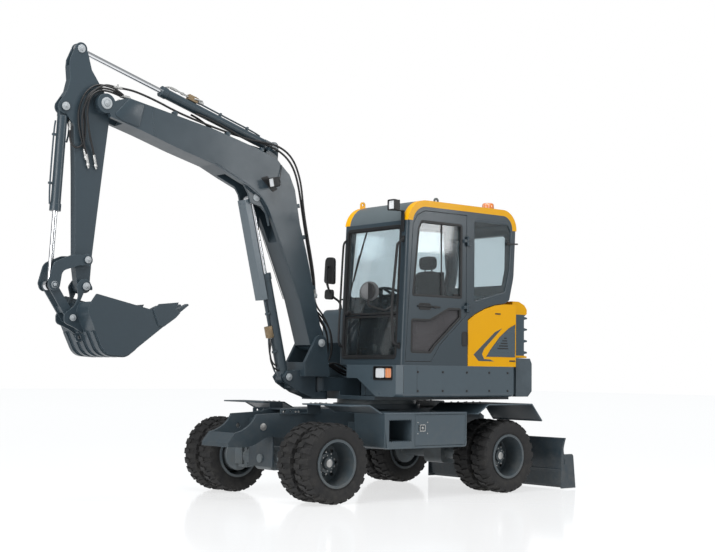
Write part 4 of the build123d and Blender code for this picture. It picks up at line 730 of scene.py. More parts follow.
gapOutline = roundedOutline(
    ((0.500, 1.291), (0.414, 2.600), (0.359, 2.690), (0.260, 2.735), (-0.300, 2.735), (-0.300, 1.750),
     (0.055, 1.451), (0.165, 1.291)), (0.01, 0.03, 0.03, 0.03, 0.01, 0.01, 0.01, 0.01))
finishPiece(framePiece(gapOutline, 1, 0.950, 0.9835, 0.0055), "door_gap_seal", "dark", "upper")
print("stage: door and wiper")

# lamps at the front and on the roof: headlamp and turn lamp in their recess, work lamp, beacon
for name, yLow, yHigh, look in (("head_lamp", 0.632, 0.756, "clearLens"),
                                ("turn_lamp", 0.772, 0.852, "orangeLens")):
    lens = platePiece(roundedRectangle(yLow, 1.136, yHigh, 1.226, 0.016), 0, 0.550, 0.5585, 0.003)
    finishPiece(lens, name, look, "upper", "trim_black")
lampFrame = framePiece(roundedRectangle(0.600, 1.113, 0.882, 1.247, 0.02), 0, 0.536, 0.5655, 0.012, 0.003)
lampBack = platePiece(roundedRectangle(0.604, 1.117, 0.878, 1.243, 0.02), 0, 0.5262, 0.5300)
finishPiece(joinPieces([lampFrame, lampBack]), "lamp_surround", "dark", "upper")
workLens = platePiece(roundedRectangle(0.878, 2.724, 0.952, 2.804, 0.012), 0, 0.620, 0.6262, 0.003)
finishPiece(workLens, "work_lamp_lens", "clearLens", "upper")
visor = framePiece(roundedRectangle(0.864, 2.712, 0.966, 2.816, 0.016), 0, 0.600, 0.634, 0.010, 0.003)
finishPiece(visor, "work_lamp_rim", "dark", "upper")
beaconFoot = barPiece((-0.800, 0.780, 2.8325), (-0.800, 0.780, 2.850), 0.074, 0.006, 32)
finishPiece(beaconFoot, "beacon_foot", "dark", "upper")
beacon = barPiece((-0.800, 0.780, 2.849), (-0.800, 0.780, 2.918), 0.064, 0.016, 40, 0.058)
finishPiece(beacon, "beacon", "orangeLens", "upper")
print("stage: lamps")

# hoses: each is one smooth line whose length is measured against the table; those that cross a pin are put on
# no body
hoses = (
    # name, body, second body, bend from, bend to, diameter, length, lay, far end, points
    ("hose_bend_left", "boom", None, None, None, 0.020, 3.23, "taut", "fitting",
     ((0.893, 0.080, 1.955), (0.893, 0.084, 2.030), (0.918, 0.086, 2.130), (0.985, 0.086, 2.420),
      (1.045, 0.086, 2.700), (1.095, 0.088, 2.960), (1.165, 0.092, 3.150), (1.290, 0.092, 3.270),
      (1.480, 0.090, 3.335), (1.700, 0.088, 3.362), (1.940, 0.088, 3.395), (2.250, 0.088, 3.456),
      (2.500, 0.088, 3.515), (2.700, 0.082, 3.585), (2.900, 0.070, 3.640), (3.000, 0.062, 3.652),
      (3.075, 0.061, 3.652))),
    ("hose_bend_outer", "boom", None, None, None, 0.020, 2.42, "taut", "object",
     ((0.893, 0.100, 1.955), (0.896, 0.102, 2.040), (0.930, 0.104, 2.230), (0.995, 0.104, 2.500),
      (1.050, 0.104, 2.760), (1.085, 0.106, 3.020), (1.180, 0.108, 3.230), (1.340, 0.110, 3.330),
      (1.540, 0.110, 3.350), (1.760, 0.108, 3.352), (1.980, 0.100, 3.440), (2.120, 0.082, 3.490),
      (2.200, 0.056, 3.520), (2.262, 0.044, 3.534))),
    ("hose_bend_inner", "boom", None, None, None, 0.020, 2.42, "taut", "object",
     ((0.893, -0.080, 1.955), (0.893, -0.084, 2.030), (0.915, -0.086, 2.130), (0.975, -0.086, 2.420),
      (1.040, -0.086, 2.700), (1.080, -0.088, 2.960), (1.150, -0.090, 3.150), (1.280, -0.092, 3.280),
      (1.470, -0.092, 3.330), (1.680, -0.092, 3.345), (1.900, -0.090, 3.395), (2.080, -0.078, 3.480),
      (2.180, -0.058, 3.520), (2.252, -0.050, 3.538))),
    ("hose_bend_right", "boom", None, None, None, 0.020, 3.0, "taut", "object",
     ((0.893, -0.098, 1.955), (0.896, -0.100, 2.030), (0.930, -0.102, 2.150), (1.000, -0.102, 2.420),
      (1.080, -0.102, 2.720), (1.150, -0.104, 2.990), (1.255, -0.106, 3.165), (1.420, -0.108, 3.280),
      (1.650, -0.108, 3.325), (2.000, -0.106, 3.408), (2.400, -0.100, 3.492), (2.700, -0.088, 3.545),
      (2.850, -0.085, 3.575), (2.940, -0.085, 3.574))),
    ("hose_arm_front", "boom", "arm", (3.09, 0.06, 3.63), (3.36, 0.06, 3.50), 0.018, 0.85, "hanging",
     "object", ((3.100, 0.061, 3.652), (3.185, 0.066, 3.664), (3.255, 0.080, 3.640), (3.330, 0.090, 3.590),
                (3.400, 0.092, 3.500),
      (3.440, 0.090, 3.380), (3.435, 0.086, 3.240), (3.405, 0.074, 3.110), (3.372, 0.058, 3.020))),
    ("hose_arm_middle", "boom", "arm", (3.10, 0.08, 3.58), (3.36, 0.08, 3.50), 0.018, 0.86, "hanging",
     "object", ((3.056, 0.084, 3.572), (3.130, 0.086, 3.592), (3.215, 0.092, 3.602), (3.300, 0.098, 3.590),
                (3.372, 0.098, 3.530),
      (3.398, 0.096, 3.420), (3.385, 0.092, 3.300), (3.350, 0.082, 3.160), (3.315, 0.066, 3.080),
      (3.298, 0.058, 3.020))),
    ("hose_arm_loop", "boom", "arm", (3.10, 0.06, 3.58), (3.36, 0.06, 3.50), 0.018, 1.07, "hanging", "object",
     ((3.050, 0.100, 3.574), (3.130, 0.096, 3.610), (3.210, 0.082, 3.626), (3.300, 0.078, 3.614),
      (3.385, 0.076, 3.545), (3.420, 0.074, 3.420), (3.395, 0.072, 3.270), (3.400, 0.068, 3.130),
      (3.450, 0.060, 3.070), (3.510, 0.050, 3.090), (3.522, 0.034, 3.160), (3.518, 0.020, 3.235))),
    ("hose_arm_back", "boom", "arm", (3.10, 0.03, 3.58), (3.36, 0.03, 3.50), 0.018, 0.92, "hanging", "object",
     ((3.044, 0.114, 3.572), (3.120, 0.108, 3.625), (3.210, 0.080, 3.650), (3.310, 0.066, 3.646),
      (3.410, 0.066, 3.560), (3.462, 0.064, 3.420), (3.458, 0.062, 3.280), (3.425, 0.060, 3.150),
      (3.392, 0.056, 3.060))),
    ("hose_cylinder_base", "boom_cylinder_barrel", None, None, None, 0.014, 0.374, "hanging", "object",
     ((1.356, 0.030, 1.505), (1.361, 0.034, 1.440), (1.376, 0.040, 1.350), (1.360, 0.042, 1.260),
      (1.310, 0.040, 1.200), (1.258, 0.036, 1.190))),
    ("hose_cylinder_side", "boom_cylinder_barrel", None, None, None, 0.014, 0.309, "hanging", "object",
     ((1.345, -0.010, 1.505), (1.352, -0.006, 1.430), (1.350, 0.0, 1.350), (1.325, 0.004, 1.280),
      (1.290, 0.006, 1.242), (1.262, 0.006, 1.232))),
)
footRuns = (
    # side offset, bulge, drop, length over the boom's foot
    (0.080, 0.0, 0.0, 0.80), (0.045, 0.035, 0.03, 0.838), (0.008, 0.012, 0.01, 0.805),
    (-0.030, 0.040, 0.035, 0.846), (-0.070, 0.018, 0.0, 0.811),
)


def hosePiece(name, body, second, bendFrom, bendTo, diameter, length, lay, farEnd, points):
    hose = smoothLine(name, points)
    path = [tuple(vertex.co) for vertex in bpy.data.meshes.new_from_object(hose).vertices]
    run = sum((Vector(a) - Vector(b)).length for a, b in zip(path, path[1:]))
    hose = sweepLine(hose, diameter / 2, 3)
    finishPiece(hose, name, "hose", None if second else body, "trim_black", 60)
    if second:
        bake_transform(hose)
    if abs(run - length) > 0.02 * length:
        print("length of", name, round(run, 3), "table says", length)
    if farEnd == "fitting":
        tip, back = Vector(points[-1]), (Vector(points[-1]) - Vector(points[-2])).normalized()
        union = joinPieces([
            barPiece(tip - back * 0.030, tip + back * 0.012, diameter * 0.62, 0.002, 18),
            barPiece(tip + back * 0.004, tip + back * 0.024, diameter * 0.75, 0.0015, 6),
            barPiece(tip + back * 0.022, tip + back * 0.058, diameter * 0.60, 0.002, 18),
            barPiece(tip + back * 0.010 + Vector((0, 0, -0.012)), tip + back * 0.010 + Vector((0, 0, 0.030)),
                     0.007, 0.001, 12),
        ])
        finishPiece(union, f"{name}_union", "zinc", body)


for row in hoses:
    hosePiece(*row)
for index, (offset, bulge, drop, footLength) in enumerate(footRuns):
    rear = 0.655 - bulge
    hosePiece(f"hose_foot_{index}", "swing_post", "boom", (0.72, offset, 1.30), (0.86, offset, 1.75), 0.018,
              footLength, "hanging", "object",
              ((0.790, offset, 1.212), (0.745, offset, 1.240), (rear + 0.015, offset, 1.320),
               (rear, offset, 1.450), (rear + 0.025, offset, 1.600), (0.770, offset, 1.740),
               (0.856, offset, 1.820 - drop), (0.879, offset, 1.888)))
    hosePiece(f"hose_post_{index}", "upper", "swing_post", (0.42, offset, 1.20), (0.72, offset, 1.20), 0.018,
              0.485, "hanging", "object", ((0.292, offset, 1.180 - drop), (0.380, offset, 1.185 - drop),
                                           (0.470, offset, 1.215 - drop),
               (0.560, offset, 1.262 - drop), (0.640, offset, 1.272), (0.700, offset, 1.255),
                                           (0.745, offset, 1.218)))
print("stage: hoses")

# fittings at the hoses' ends: a swaged sleeve and a hexagon nut on each
fittings = (
    # body, place, towards, sleeve radius, length
    ("boom", (2.940, -0.085, 3.574), (0.98, 0.0, -0.05), 0.0125, 0.060),
    ("boom", (3.060, 0.084, 3.573), (-1.0, 0.0, -0.12), 0.0120, 0.070),
    ("boom", (3.054, 0.100, 3.576), (-1.0, 0.0, -0.12), 0.0115, 0.060),
    ("boom", (3.048, 0.114, 3.574), (-1.0, 0.0, -0.12), 0.0115, 0.060),
    ("arm", (3.371, 0.058, 3.020), (-0.22, -0.03, -0.97), 0.0125, 0.110),
    ("arm", (3.297, 0.058, 3.020), (-0.22, -0.03, -0.97), 0.0125, 0.110),
    ("arm", (3.391, 0.056, 3.060), (-0.22, -0.03, -0.97), 0.0120, 0.080),
    ("arm", (3.518, 0.020, 3.236), (0.0, -0.05, 1.0), 0.0130, 0.070),
    ("boom_cylinder_barrel", (1.357, 0.030, 1.506), (-0.2, 0.0, 1.0), 0.0105, 0.035),
    ("boom_cylinder_barrel", (1.344, -0.010, 1.506), (-0.2, 0.0, 1.0), 0.0105, 0.035),
)
fittingsByBody = {}
for body, place, towards, radius, tall in fittings:
    place, towards = Vector(place), Vector(towards).normalized()
    sleeve = barPiece(place - towards * 0.012, place + towards * tall * 0.62, radius, 0.002, 18)
    nut = barPiece(place + towards * tall * 0.62, place + towards * tall * 0.84, radius * 1.18, 0.0015, 6)
    stub = barPiece(place + towards * tall * 0.84, place + towards * tall * 1.02, radius * 0.7, 0.001, 16)
    fittingsByBody.setdefault(body, []).extend([sleeve, nut, stub])
for offset in (run[0] for run in footRuns):
    fittingsByBody["boom"].append(barPiece((0.870, offset, 1.862), (0.885, offset, 1.905), 0.0125, 0.002, 18))
    fittingsByBody.setdefault("swing_post", []).extend([
        barPiece((0.780, offset, 1.198), (0.795, offset, 1.232), 0.0135, 0.002, 6),
        barPiece((0.742, offset, 1.198), (0.744, offset, 1.228), 0.0135, 0.002, 6),
    ])
for y in (0.080, 0.100, -0.080, -0.098):
    fittingsByBody["boom"].append(barPiece((0.884, y, 1.930), (0.895, y, 1.985), 0.0135, 0.002, 18))
fittingsByBody["boom"].append(boxPiece((0.866, -0.112, 1.898), (0.914, 0.112, 1.938), 0.005))
for body, parts in fittingsByBody.items():
    finishPiece(joinPieces(parts), f"hose_fittings_{body}", "zinc", body)
print("stage: fittings")

# clamps that hold the hoses on the boom: a plate with a cover over each bundle
clamps = (
    # x, z of the boom's top edge there, direction along the edge
    ((2.520, 3.4755), (0.983, 0.1834)), ((1.945, 3.362), (0.971, 0.2395)), ((1.560, 3.260), (0.945, 0.325)),
    ((1.137, 2.775), (0.196, 0.981)), ((1.060, 2.475), (0.30, 0.955)), ((0.930, 1.995), (0.22, 0.975)),
)
clampParts = []
for (x, z), (alongX, alongZ) in clamps:
    turn = math.atan2(alongZ, alongX)
    for side in (1, -1):
        low, high = sorted((side * 0.062, side * 0.118))
        strap = boxPiece((-0.020, low, -0.002), (0.020, high, 0.036), 0.006, 3)
        boltHead = barPiece((0, side * 0.090, 0.034), (0, side * 0.090, 0.043), 0.009, 0.0015, 6)
        both = joinPieces([strap, boltHead])
        both.data.transform(Matrix.Translation((x, 0, z)) @ Matrix.Rotation(-turn, 4, "Y"))
        clampParts.append(both)
finishPiece(joinPieces(clampParts), "hose_clamps", "slate", "boom")
print("stage: clamps")

# seat: base with bellows, crowned cushion and back with side bolsters and sewn seams, headrest and armrests
seatBuild = {
    "cushion": ((-0.235, 0.315, 1.590), (0.200, 0.725, 1.715)),
    "back": ((-0.262, 0.325, 1.700), (-0.140, 0.715, 2.200)),
    "head": ((-0.258, 0.415, 2.215), (-0.165, 0.625, 2.350)),
    "seams": (0.52, -0.52),
}


# a cushion: a cut-up cube whose faces are crowned, with raised sides and two sunk seams on its face
def padPiece(low, high, face, crown, bolster):
    deselectAll()
    middle = [(a + b) / 2 for a, b in zip(low, high)]
    half = [(b - a) / 2 for a, b in zip(low, high)]
    bpy.ops.mesh.primitive_cube_add(size=2, location=(0, 0, 0))
    pad = bpy.context.object
    bpy.ops.object.mode_set(mode="EDIT")
    bpy.ops.mesh.select_all(action="SELECT")
    bpy.ops.mesh.subdivide(number_cuts=15)
    bpy.ops.object.mode_set(mode="OBJECT")
    across = [axis for axis in (0, 1, 2) if axis != face]
    for vertex in pad.data.vertices:
        unit = list(vertex.co)
        fourth = [value ** 4 for value in unit]
        rounded = []
        for axis in range(3):
            a, b = fourth[(axis + 1) % 3], fourth[(axis + 2) % 3]
            rounded.append(unit[axis] * math.sqrt(max(0.0, 1 - 0.28 * a - 0.28 * b + 0.10 * a * b)))
        side, length = unit[1], unit[across[0] if across[0] != 1 else across[1]]
        if unit[face] > 0.2:
            rise = crown * (1 - side ** 2) * (1 - length ** 4)
            rise += bolster * max(0.0, min(1.0, (abs(side) - 0.45) / 0.2)) * (1 - length ** 6)
            for seam in seatBuild["seams"]:
                rise -= 0.10 * math.exp(-((side - seam) / 0.06) ** 2)
            for seam in (-0.35, 0.3):
                if abs(side) < 0.5:
                    rise -= 0.08 * math.exp(-((length - seam) / 0.06) ** 2)
            rounded[face] = rounded[face] * 0.86 + rise * unit[face]
        vertex.co = [m + h * r for m, h, r in zip(middle, half, rounded)]
    soft = pad.modifiers.new("soft", "SUBSURF")
    soft.levels = soft.render_levels = 1
    makeActive(pad)
    bpy.ops.object.modifier_apply(modifier=soft.name)
    return pad


for name, face, crown, bolster in (("cushion", 2, 0.10, 0.16), ("back", 0, 0.08, 0.20),
                                   ("head", 0, 0.12, 0.05)):
    low, high = seatBuild[name]
    pad = padPiece(low, high, face, crown, bolster)
    finishPiece(pad, f"seat_{name}", "seatCloth", "upper", "seat_black", 60,
                ("seat",) if name == "cushion" else ())
shellParts = [
    boxPiece((-0.270, 0.335, 1.690), (-0.235, 0.705, 2.190), 0.012, 3),
    boxPiece((-0.225, 0.330, 1.560), (0.180, 0.710, 1.592), 0.010, 3),
    barPiece((-0.225, 0.470, 2.19), (-0.215, 0.470, 2.24), 0.008),
    barPiece((-0.225, 0.570, 2.19), (-0.215, 0.570, 2.24), 0.008),
]
for fold in range(6):
    inward = 0.012 * (fold % 2)
    shellParts.append(boxPiece((-0.205 + inward, 0.350 + inward, 1.330 + fold * 0.038),
                               (0.160 - inward, 0.690 - inward, 1.366 + fold * 0.038), 0.008))
shellParts.append(boxPiece((-0.240, 0.325, 1.2875), (0.190, 0.715, 1.330), 0.008))
finishPiece(joinPieces(shellParts), "seat_frame", "dark", "upper", "seat_black")
# armrest consoles with their levers
for side, y in (("left", 0.775), ("right", 0.265)):
    stand = [
        boxPiece((-0.080, y - 0.035, 1.560), (0.200, y + 0.035, 1.800), 0.020, 3),
        boxPiece((-0.180, y - 0.040, 1.860), (0.130, y + 0.040, 1.905), 0.018, 3),
        tubePiece([(-0.08, y, 1.79), (-0.09, y, 1.83), (-0.08, y, 1.865)], 0.012),
        tubePiece([(0.175, y, 1.790), (0.185, y, 1.860), (0.180, y, 1.930)], 0.009),
        barPiece((0.180, y, 1.915), (0.188, y, 2.010), 0.020, 0.008, 20, 0.026),
    ]
    for ring in range(4):
        stand.append(barPiece((0.174, y, 1.796 + ring * 0.012), (0.174, y, 1.806 + ring * 0.012),
                              0.040 - 0.006 * ring, 0.002))
    finishPiece(joinPieces(stand), f"lever_stand_{side}", "dark", "upper")
# pedals with their foot plates, and the display on its stalk
cabParts = [boxPiece((0.380, y, 1.30), (0.470, y + 0.090, 1.316), 0.004) for y in (0.240, 0.690)]
for y in (0.285, 0.735):
    cabParts.append(tubePiece([(0.455, y, 1.29), (0.470, y, 1.36), (0.430, y, 1.42)], 0.008))
    cabParts.append(boxPiece((0.395, y - 0.030, 1.405), (0.455, y + 0.030, 1.425), 0.006))
cabParts.append(boxPiece((0.330, 0.130, 1.860), (0.352, 0.330, 2.010), 0.010, 3))
cabParts.append(tubePiece([(0.345, 0.22, 1.87), (0.380, 0.20, 1.78), (0.40, 0.18, 1.60), (0.40, 0.17, 1.30)],
                          0.012))
finishPiece(joinPieces(cabParts), "cab_controls", "dark", "upper")
# roof lining, and the blind at its front
lining = platePiece(roundedRectangle(0.36, 0.110, -0.86, 0.927, 0.08), 2, 2.690, 2.702, 0.004)
finishPiece(lining, "roof_lining", "lining", "upper")
blind = barPiece((0.400, 0.150, 2.600), (0.400, 0.845, 2.600), 0.022, 0.004)
finishPiece(blind, "roller_blind", "lining", "upper")
print("stage: seat and controls")

# mirrors: the round one's glass and rim, and the pair on the right front corner
mirrorRim = barPiece((0.866, 0.896, 1.936), (0.898, 0.919, 1.936), 0.094, 0.008, 48, 0.080)
finishPiece(mirrorRim, "round_mirror_rim", "mirrorShell", "upper")
mirrorGlass = barPiece((0.8636, 0.8944, 1.936), (0.8668, 0.8966, 1.936), 0.084, 0.001, 48)
finishPiece(mirrorGlass, "round_mirror_glass", "mirror", "upper")
rightMast = [
    tubePiece([(-0.140, -0.760, 1.848), (-0.136, -0.760, 1.930), (-0.040, -0.770, 1.975),
               (0.030, -0.775, 2.060), (0.050, -0.775, 2.180), (0.045, -0.775, 2.300)], 0.012),
    barPiece((-0.140, -0.760, 1.8495), (-0.140, -0.760, 1.862), 0.030, 0.003),
    barPiece((0.045, -0.775, 2.285), (0.045, -0.775, 2.315), 0.018, 0.003),
    tubePiece([(0.050, -0.775, 2.120), (0.020, -0.800, 2.090), (-0.010, -0.810, 2.060)], 0.009),
]
finishPiece(joinPieces(rightMast), "right_mirror_mast", "dark", "upper")
headOutline = roundedOutline(((-0.870, 2.130), (-0.700, 2.110), (-0.700, 2.400), (-0.850, 2.410)),
                             (0.04, 0.03, 0.05, 0.06))
head = platePiece(headOutline, 0, -0.018, 0.020, 0.012, 3)
spotOutline = roundedOutline(((-0.880, 1.960), (-0.740, 1.950), (-0.740, 2.060), (-0.870, 2.065)),
                             (0.035,) * 4)
spot = platePiece(spotOutline, 0, -0.030, 0.004, 0.010, 3)
finishPiece(joinPieces([head, spot]), "right_mirrors", "dark", "upper")
headOutline = roundedOutline(((-0.860, 2.142), (-0.710, 2.124), (-0.710, 2.388), (-0.842, 2.396)),
                             (0.03,) * 4)
headGlass = platePiece(headOutline, 0, -0.0205, -0.018)
spotOutline = roundedOutline(((-0.870, 1.968), (-0.750, 1.960), (-0.750, 2.050), (-0.862, 2.054)),
                             (0.03,) * 4)
spotGlass = platePiece(spotOutline, 0, -0.0325, -0.030)
finishPiece(joinPieces([headGlass, spotGlass]), "right_mirror_glass", "mirror", "upper")
print("stage: mirrors")

# stripes and the side hood's small parts, all on the hood's outer face
hoodTrim = {
    "y": 0.987,
    "chevron": ((-0.798, 1.639), (-0.699, 1.601), (-0.400, 1.372), (-0.469, 1.310), (-0.686, 1.308),
                (-0.630, 1.327), (-0.546, 1.330), (-0.517, 1.379), (-0.545, 1.429)),
    "vent": ((-0.991, 1.682), (-0.901, 1.643), (-0.772, 1.554), (-0.632, 1.416), (-0.583, 1.354),
             (-0.991, 1.354)),
}
chevron = platePiece(hoodTrim["chevron"], 1, hoodTrim["y"] - 0.0004, hoodTrim["y"] + 0.0008)
finishPiece(chevron, "hood_chevron", "decal", "upper")
ventPlate = platePiece(hoodTrim["vent"], 1, 0.9812, 0.9834)
stepCorners = ((-0.960, 1.400), (-0.690, 1.400), (-0.690, 1.450), (-0.850, 1.610), (-0.960, 1.610))
ventStep = platePiece(roundedOutline(stepCorners, (0.015,) * 5), 1, 0.983, 0.9855, 0.001)
finishPiece(joinPieces([ventPlate, ventStep]), "vent_panel", "skirt", "upper")
slats = []
for row in range(5):
    z = 1.432 + row * 0.026
    slats.append(boxPiece((-0.892 + 0.006 * row, 0.9850, z), (-0.735 - 0.024 * row, 0.9868, z + 0.013),
                          0.0006, 1))
finishPiece(joinPieces(slats), "vent_slats", "dark", "upper")
latches = [
    boxPiece((-0.775, 0.986, 1.776), (-0.700, 0.9905, 1.789), 0.003),
    boxPiece((-0.990, 0.986, 1.308), (-0.905, 0.9905, 1.322), 0.003),
    barPiece((-0.735, 0.986, 1.782), (-0.735, 0.993, 1.782), 0.007, 0.001, 16),
]
slot = framePiece(roundedRectangle(-0.318, 1.448, -0.238, 1.592, 0.022), 1, 0.9862, 0.9915, 0.010, 0.002)
slotBack = platePiece(roundedRectangle(-0.312, 1.454, -0.244, 1.586, 0.018), 1, 0.9864, 0.9874)
finishPiece(joinPieces(latches + [slot, slotBack]), "hood_latches", "dark", "upper")
stopRod = [barPiece((-0.878, 0.986, 2.494), (-0.878, 1.000, 2.494), 0.016, 0.003),
           barPiece((-0.850, 0.995, 2.490), (-1.010, 0.995, 2.500), 0.008, 0.002),
           tubePiece([(-0.845, 0.993, 2.535), (-0.855, 0.997, 2.515), (-0.872, 0.995, 2.500)], 0.005)]
finishPiece(joinPieces(stopRod), "door_stop", "dark", "upper")
print("stage: stripes and hood trim")

# bolts and panel seams of the skirts
boltRows = {"z": (1.195, 1.016), "x": (0.336, 0.012, -0.310), "y": 0.987}
boltPiece = barPiece((0, -0.001, 0), (0, 0.0045, 0), 0.0115, 0.0015, 20)
socket = barPiece((0, 0.004, 0), (0, 0.0055, 0), 0.005, 0.0, 6)
boltPiece = joinPieces([boltPiece, socket])
skirtBolts = []
for z in boltRows["z"]:
    for x in boltRows["x"] + (-0.620, -0.880):
        skirtBolts.append(copyPiece(boltPiece, Matrix.Translation((x, boltRows["y"], z))))
    for x in (0.200, -0.100, -0.400, -0.700):
        skirtBolts.append(copyPiece(boltPiece,
                                    Matrix.Translation((x, -0.950, z)) @ Matrix.Rotation(math.pi, 4, "Z")))
bpy.data.objects.remove(boltPiece)
finishPiece(joinPieces(skirtBolts), "skirt_bolts", "dark", "upper")
seams = [boxPiece((0.3445, 0.9862, 0.995), (0.3475, 0.9874, 1.245), 0.0),
         boxPiece((0.516, 0.9862, 0.995), (0.519, 0.9874, 1.250), 0.0),
         boxPiece((-0.952, -0.9506, 1.2535), (0.245, -0.9500, 1.2565), 0.0)]
finishPiece(joinPieces(seams), "skirt_seams", "dark", "upper")


# parts made in a frame of their own, joined and moved to their place
def placeParts(parts, turn):
    piece = joinPieces(parts)
    piece.data.transform(turn)
    return piece


# from a cylinder's own frame, Z along it from its base pin and X to its front, to its place
def cylinderTurn(base, tip):
    along = Vector((tip[0] - base[0], 0, tip[1] - base[1])).normalized()
    return Matrix.Translation((base[0], 0, base[1])) @ Matrix.Rotation(math.atan2(along.x, along.z), 4, "Y")


# pin caps: a dished washer, a raised boss and a hexagon bolt on each pin of the work equipment, pale grey
# partly as their own colour and partly as a painted highlight
pinCaps = (
    # body, x, z, outer face y, radius
    ("boom", 3.222, 3.487, 0.120, 0.052), ("arm", 3.436, 3.946, 0.040, 0.036),
    ("arm", 3.574, 3.423, 0.050, 0.036), ("arm", 3.357, 2.115, 0.111, 0.030),
    ("arm", 3.356, 1.888, 0.092, 0.034), ("rocker", 3.658, 1.889, 0.101, 0.030),
    ("bucket", 3.476, 1.617, 0.092, 0.029), ("boom", 1.598, 2.817, 0.090, 0.036),
    ("boom", 1.372, 3.327, 0.056, 0.034), ("swing_post", 0.851, 1.463, 0.167, 0.038),
    ("swing_post", 1.186, 1.132, 0.098, 0.034),
)
capsByBody = {}
for body, x, z, y, radius in pinCaps:
    for side in (1, -1):
        cap = [
            barPiece((x, side * (y - 0.002), z), (x, side * (y + 0.009), z), radius, 0.0035, 36),
            barPiece((x, side * (y + 0.008), z), (x, side * (y + 0.013), z), radius * 0.52, 0.002, 28),
            barPiece((x, side * (y + 0.012), z), (x, side * (y + 0.020), z), radius * 0.22, 0.001, 6),
        ]
        capsByBody.setdefault(body, []).extend(cap)
for body, parts in capsByBody.items():
    finishPiece(joinPieces(parts), f"pin_caps_{body}", "pinCap", body)
print("stage: pin caps")

# boom: cast nose with its step, weld beads, and the work lamp on its bracket
noseCorners = ((3.000, 3.560), (2.846, 3.532), (2.900, 3.318), (3.060, 3.352), (3.150, 3.400))
noseOutline = roundedOutline(noseCorners, (0.012, 0.02, 0.02, 0.02, 0.03))
noseParts = []
for side in (1, -1):
    low, high = sorted((side * 0.1195, side * 0.1275))
    noseParts.append(platePiece(noseOutline, 1, low, high, 0.003, 2))
    y = side * 0.1203
    noseParts.append(tubePiece([(2.760, y, 3.520), (2.768, y, 3.400), (2.730, y, 3.256)], 0.004, 2))
    # bead round the cylinder lugs and along the lower edge
    lugY = side * 0.0905
    noseParts.append(tubePiece([(1.446, lugY, 2.566), (1.484, lugY, 2.684), (1.546, lugY, 2.738)], 0.004, 2))
    noseParts.append(tubePiece([(2.090, y, 3.094), (1.910, y, 3.010), (1.720, y, 2.932), (1.560, y, 2.836),
                                (1.470, y, 2.714), (1.400, y, 2.556), (1.315, y, 2.356), (1.108, y, 1.888)],
                               0.0035, 2))
finishPiece(joinPieces(noseParts), "boom_nose", "slate", "boom")

bracketOutline = roundedOutline(((1.575, 3.005), (1.500, 3.030), (1.375, 2.915), (1.430, 2.885)),
                                (0.012,) * 4)
lampParts = [
    platePiece(bracketOutline, 1, 0.1195, 0.1255, 0.0015),
    boxPiece((1.420, 0.124, 2.930), (1.475, 0.165, 2.990), 0.006),
]
finishPiece(joinPieces(lampParts), "boom_lamp_bracket", "dark", "boom")
lampCase = boxPiece((-0.030, -0.042, -0.046), (0.030, 0.042, 0.046), 0.010, 3)
lampFins = [boxPiece((-0.044, -0.034, z - 0.034), (-0.026, 0.034, z - 0.026), 0.002)
            for z in (0.017 * fin for fin in range(5))]
lampHood = framePiece(roundedRectangle(-0.042, -0.046, 0.042, 0.046, 0.010), 0, 0.026, 0.040, 0.008, 0.002)
lampTurn = Matrix.Translation((1.470, 0.205, 2.965)) @ Matrix.Rotation(math.radians(12), 4, "Y")
finishPiece(placeParts([lampCase] + lampFins + [lampHood], lampTurn), "boom_lamp", "dark", "boom")
lampLens = platePiece(roundedRectangle(-0.036, -0.040, 0.036, 0.040, 0.008), 0, 0.029, 0.034, 0.0015)
lampLens.data.transform(lampTurn)
finishPiece(lampLens, "boom_lamp_lens", "clearLens", "boom")
lampCable = tubePiece([(1.430, 0.205, 2.955), (1.395, 0.195, 2.965), (1.375, 0.150, 3.000),
                       (1.350, 0.130, 3.060), (1.335, 0.128, 3.150)], 0.004)
finishPiece(lampCable, "boom_lamp_lead", "hose", "boom")
print("stage: boom trim")

# rod cover: a folded channel that runs in front of the boom cylinder's rod and is bolted to the rod's eye
rodCover = {"base": (1.186, 1.132), "tip": (1.598, 2.817), "from": 0.770, "to": 1.735, "front": 0.116,
            "wall": 0.005, "half": 0.060, "side": 0.062}
coverTurn = cylinderTurn(rodCover["base"], rodCover["tip"])
half, wall, front = rodCover["half"], rodCover["wall"], rodCover["front"]
back = front - rodCover["side"]
coverOutline = ((front, -half), (front, half), (back, half), (back, half - wall), (front - wall, half - wall),
                (front - wall, -half + wall), (back, -half + wall), (back, -half))
cover = platePiece(coverOutline, 2, rodCover["from"], rodCover["to"], 0.0015)
coverParts = [cover]
for along in (1.655, 1.700):
    for y in (-0.030, 0.030):
        coverParts.append(barPiece((front - 0.002, y, along), (front + 0.006, y, along), 0.009, 0.0015, 6))
coverParts.append(boxPiece((0.030, -0.040, 1.690), (front - 0.004, 0.040, 1.712), 0.004))
finishPiece(placeParts(coverParts, coverTurn), "rod_cover", "coverPaint", "boom_cylinder_rod")


# a machined block with two ports and a cartridge
def valveBlock(x, y, z, size, turn):
    parts = [boxPiece((x - size / 2, y - size * 0.55, z - size), (x + size / 2, y + size * 0.55, z + size),
                      0.005, 2)]
    outward = math.copysign(size, x)
    for step in (-0.5, 0.5):
        parts.append(barPiece((x + outward * 0.45, y, z + step * size),
                              (x + outward * 0.56, y, z + step * size), size * 0.24, 0.002, 6))
    return placeParts(parts, turn)


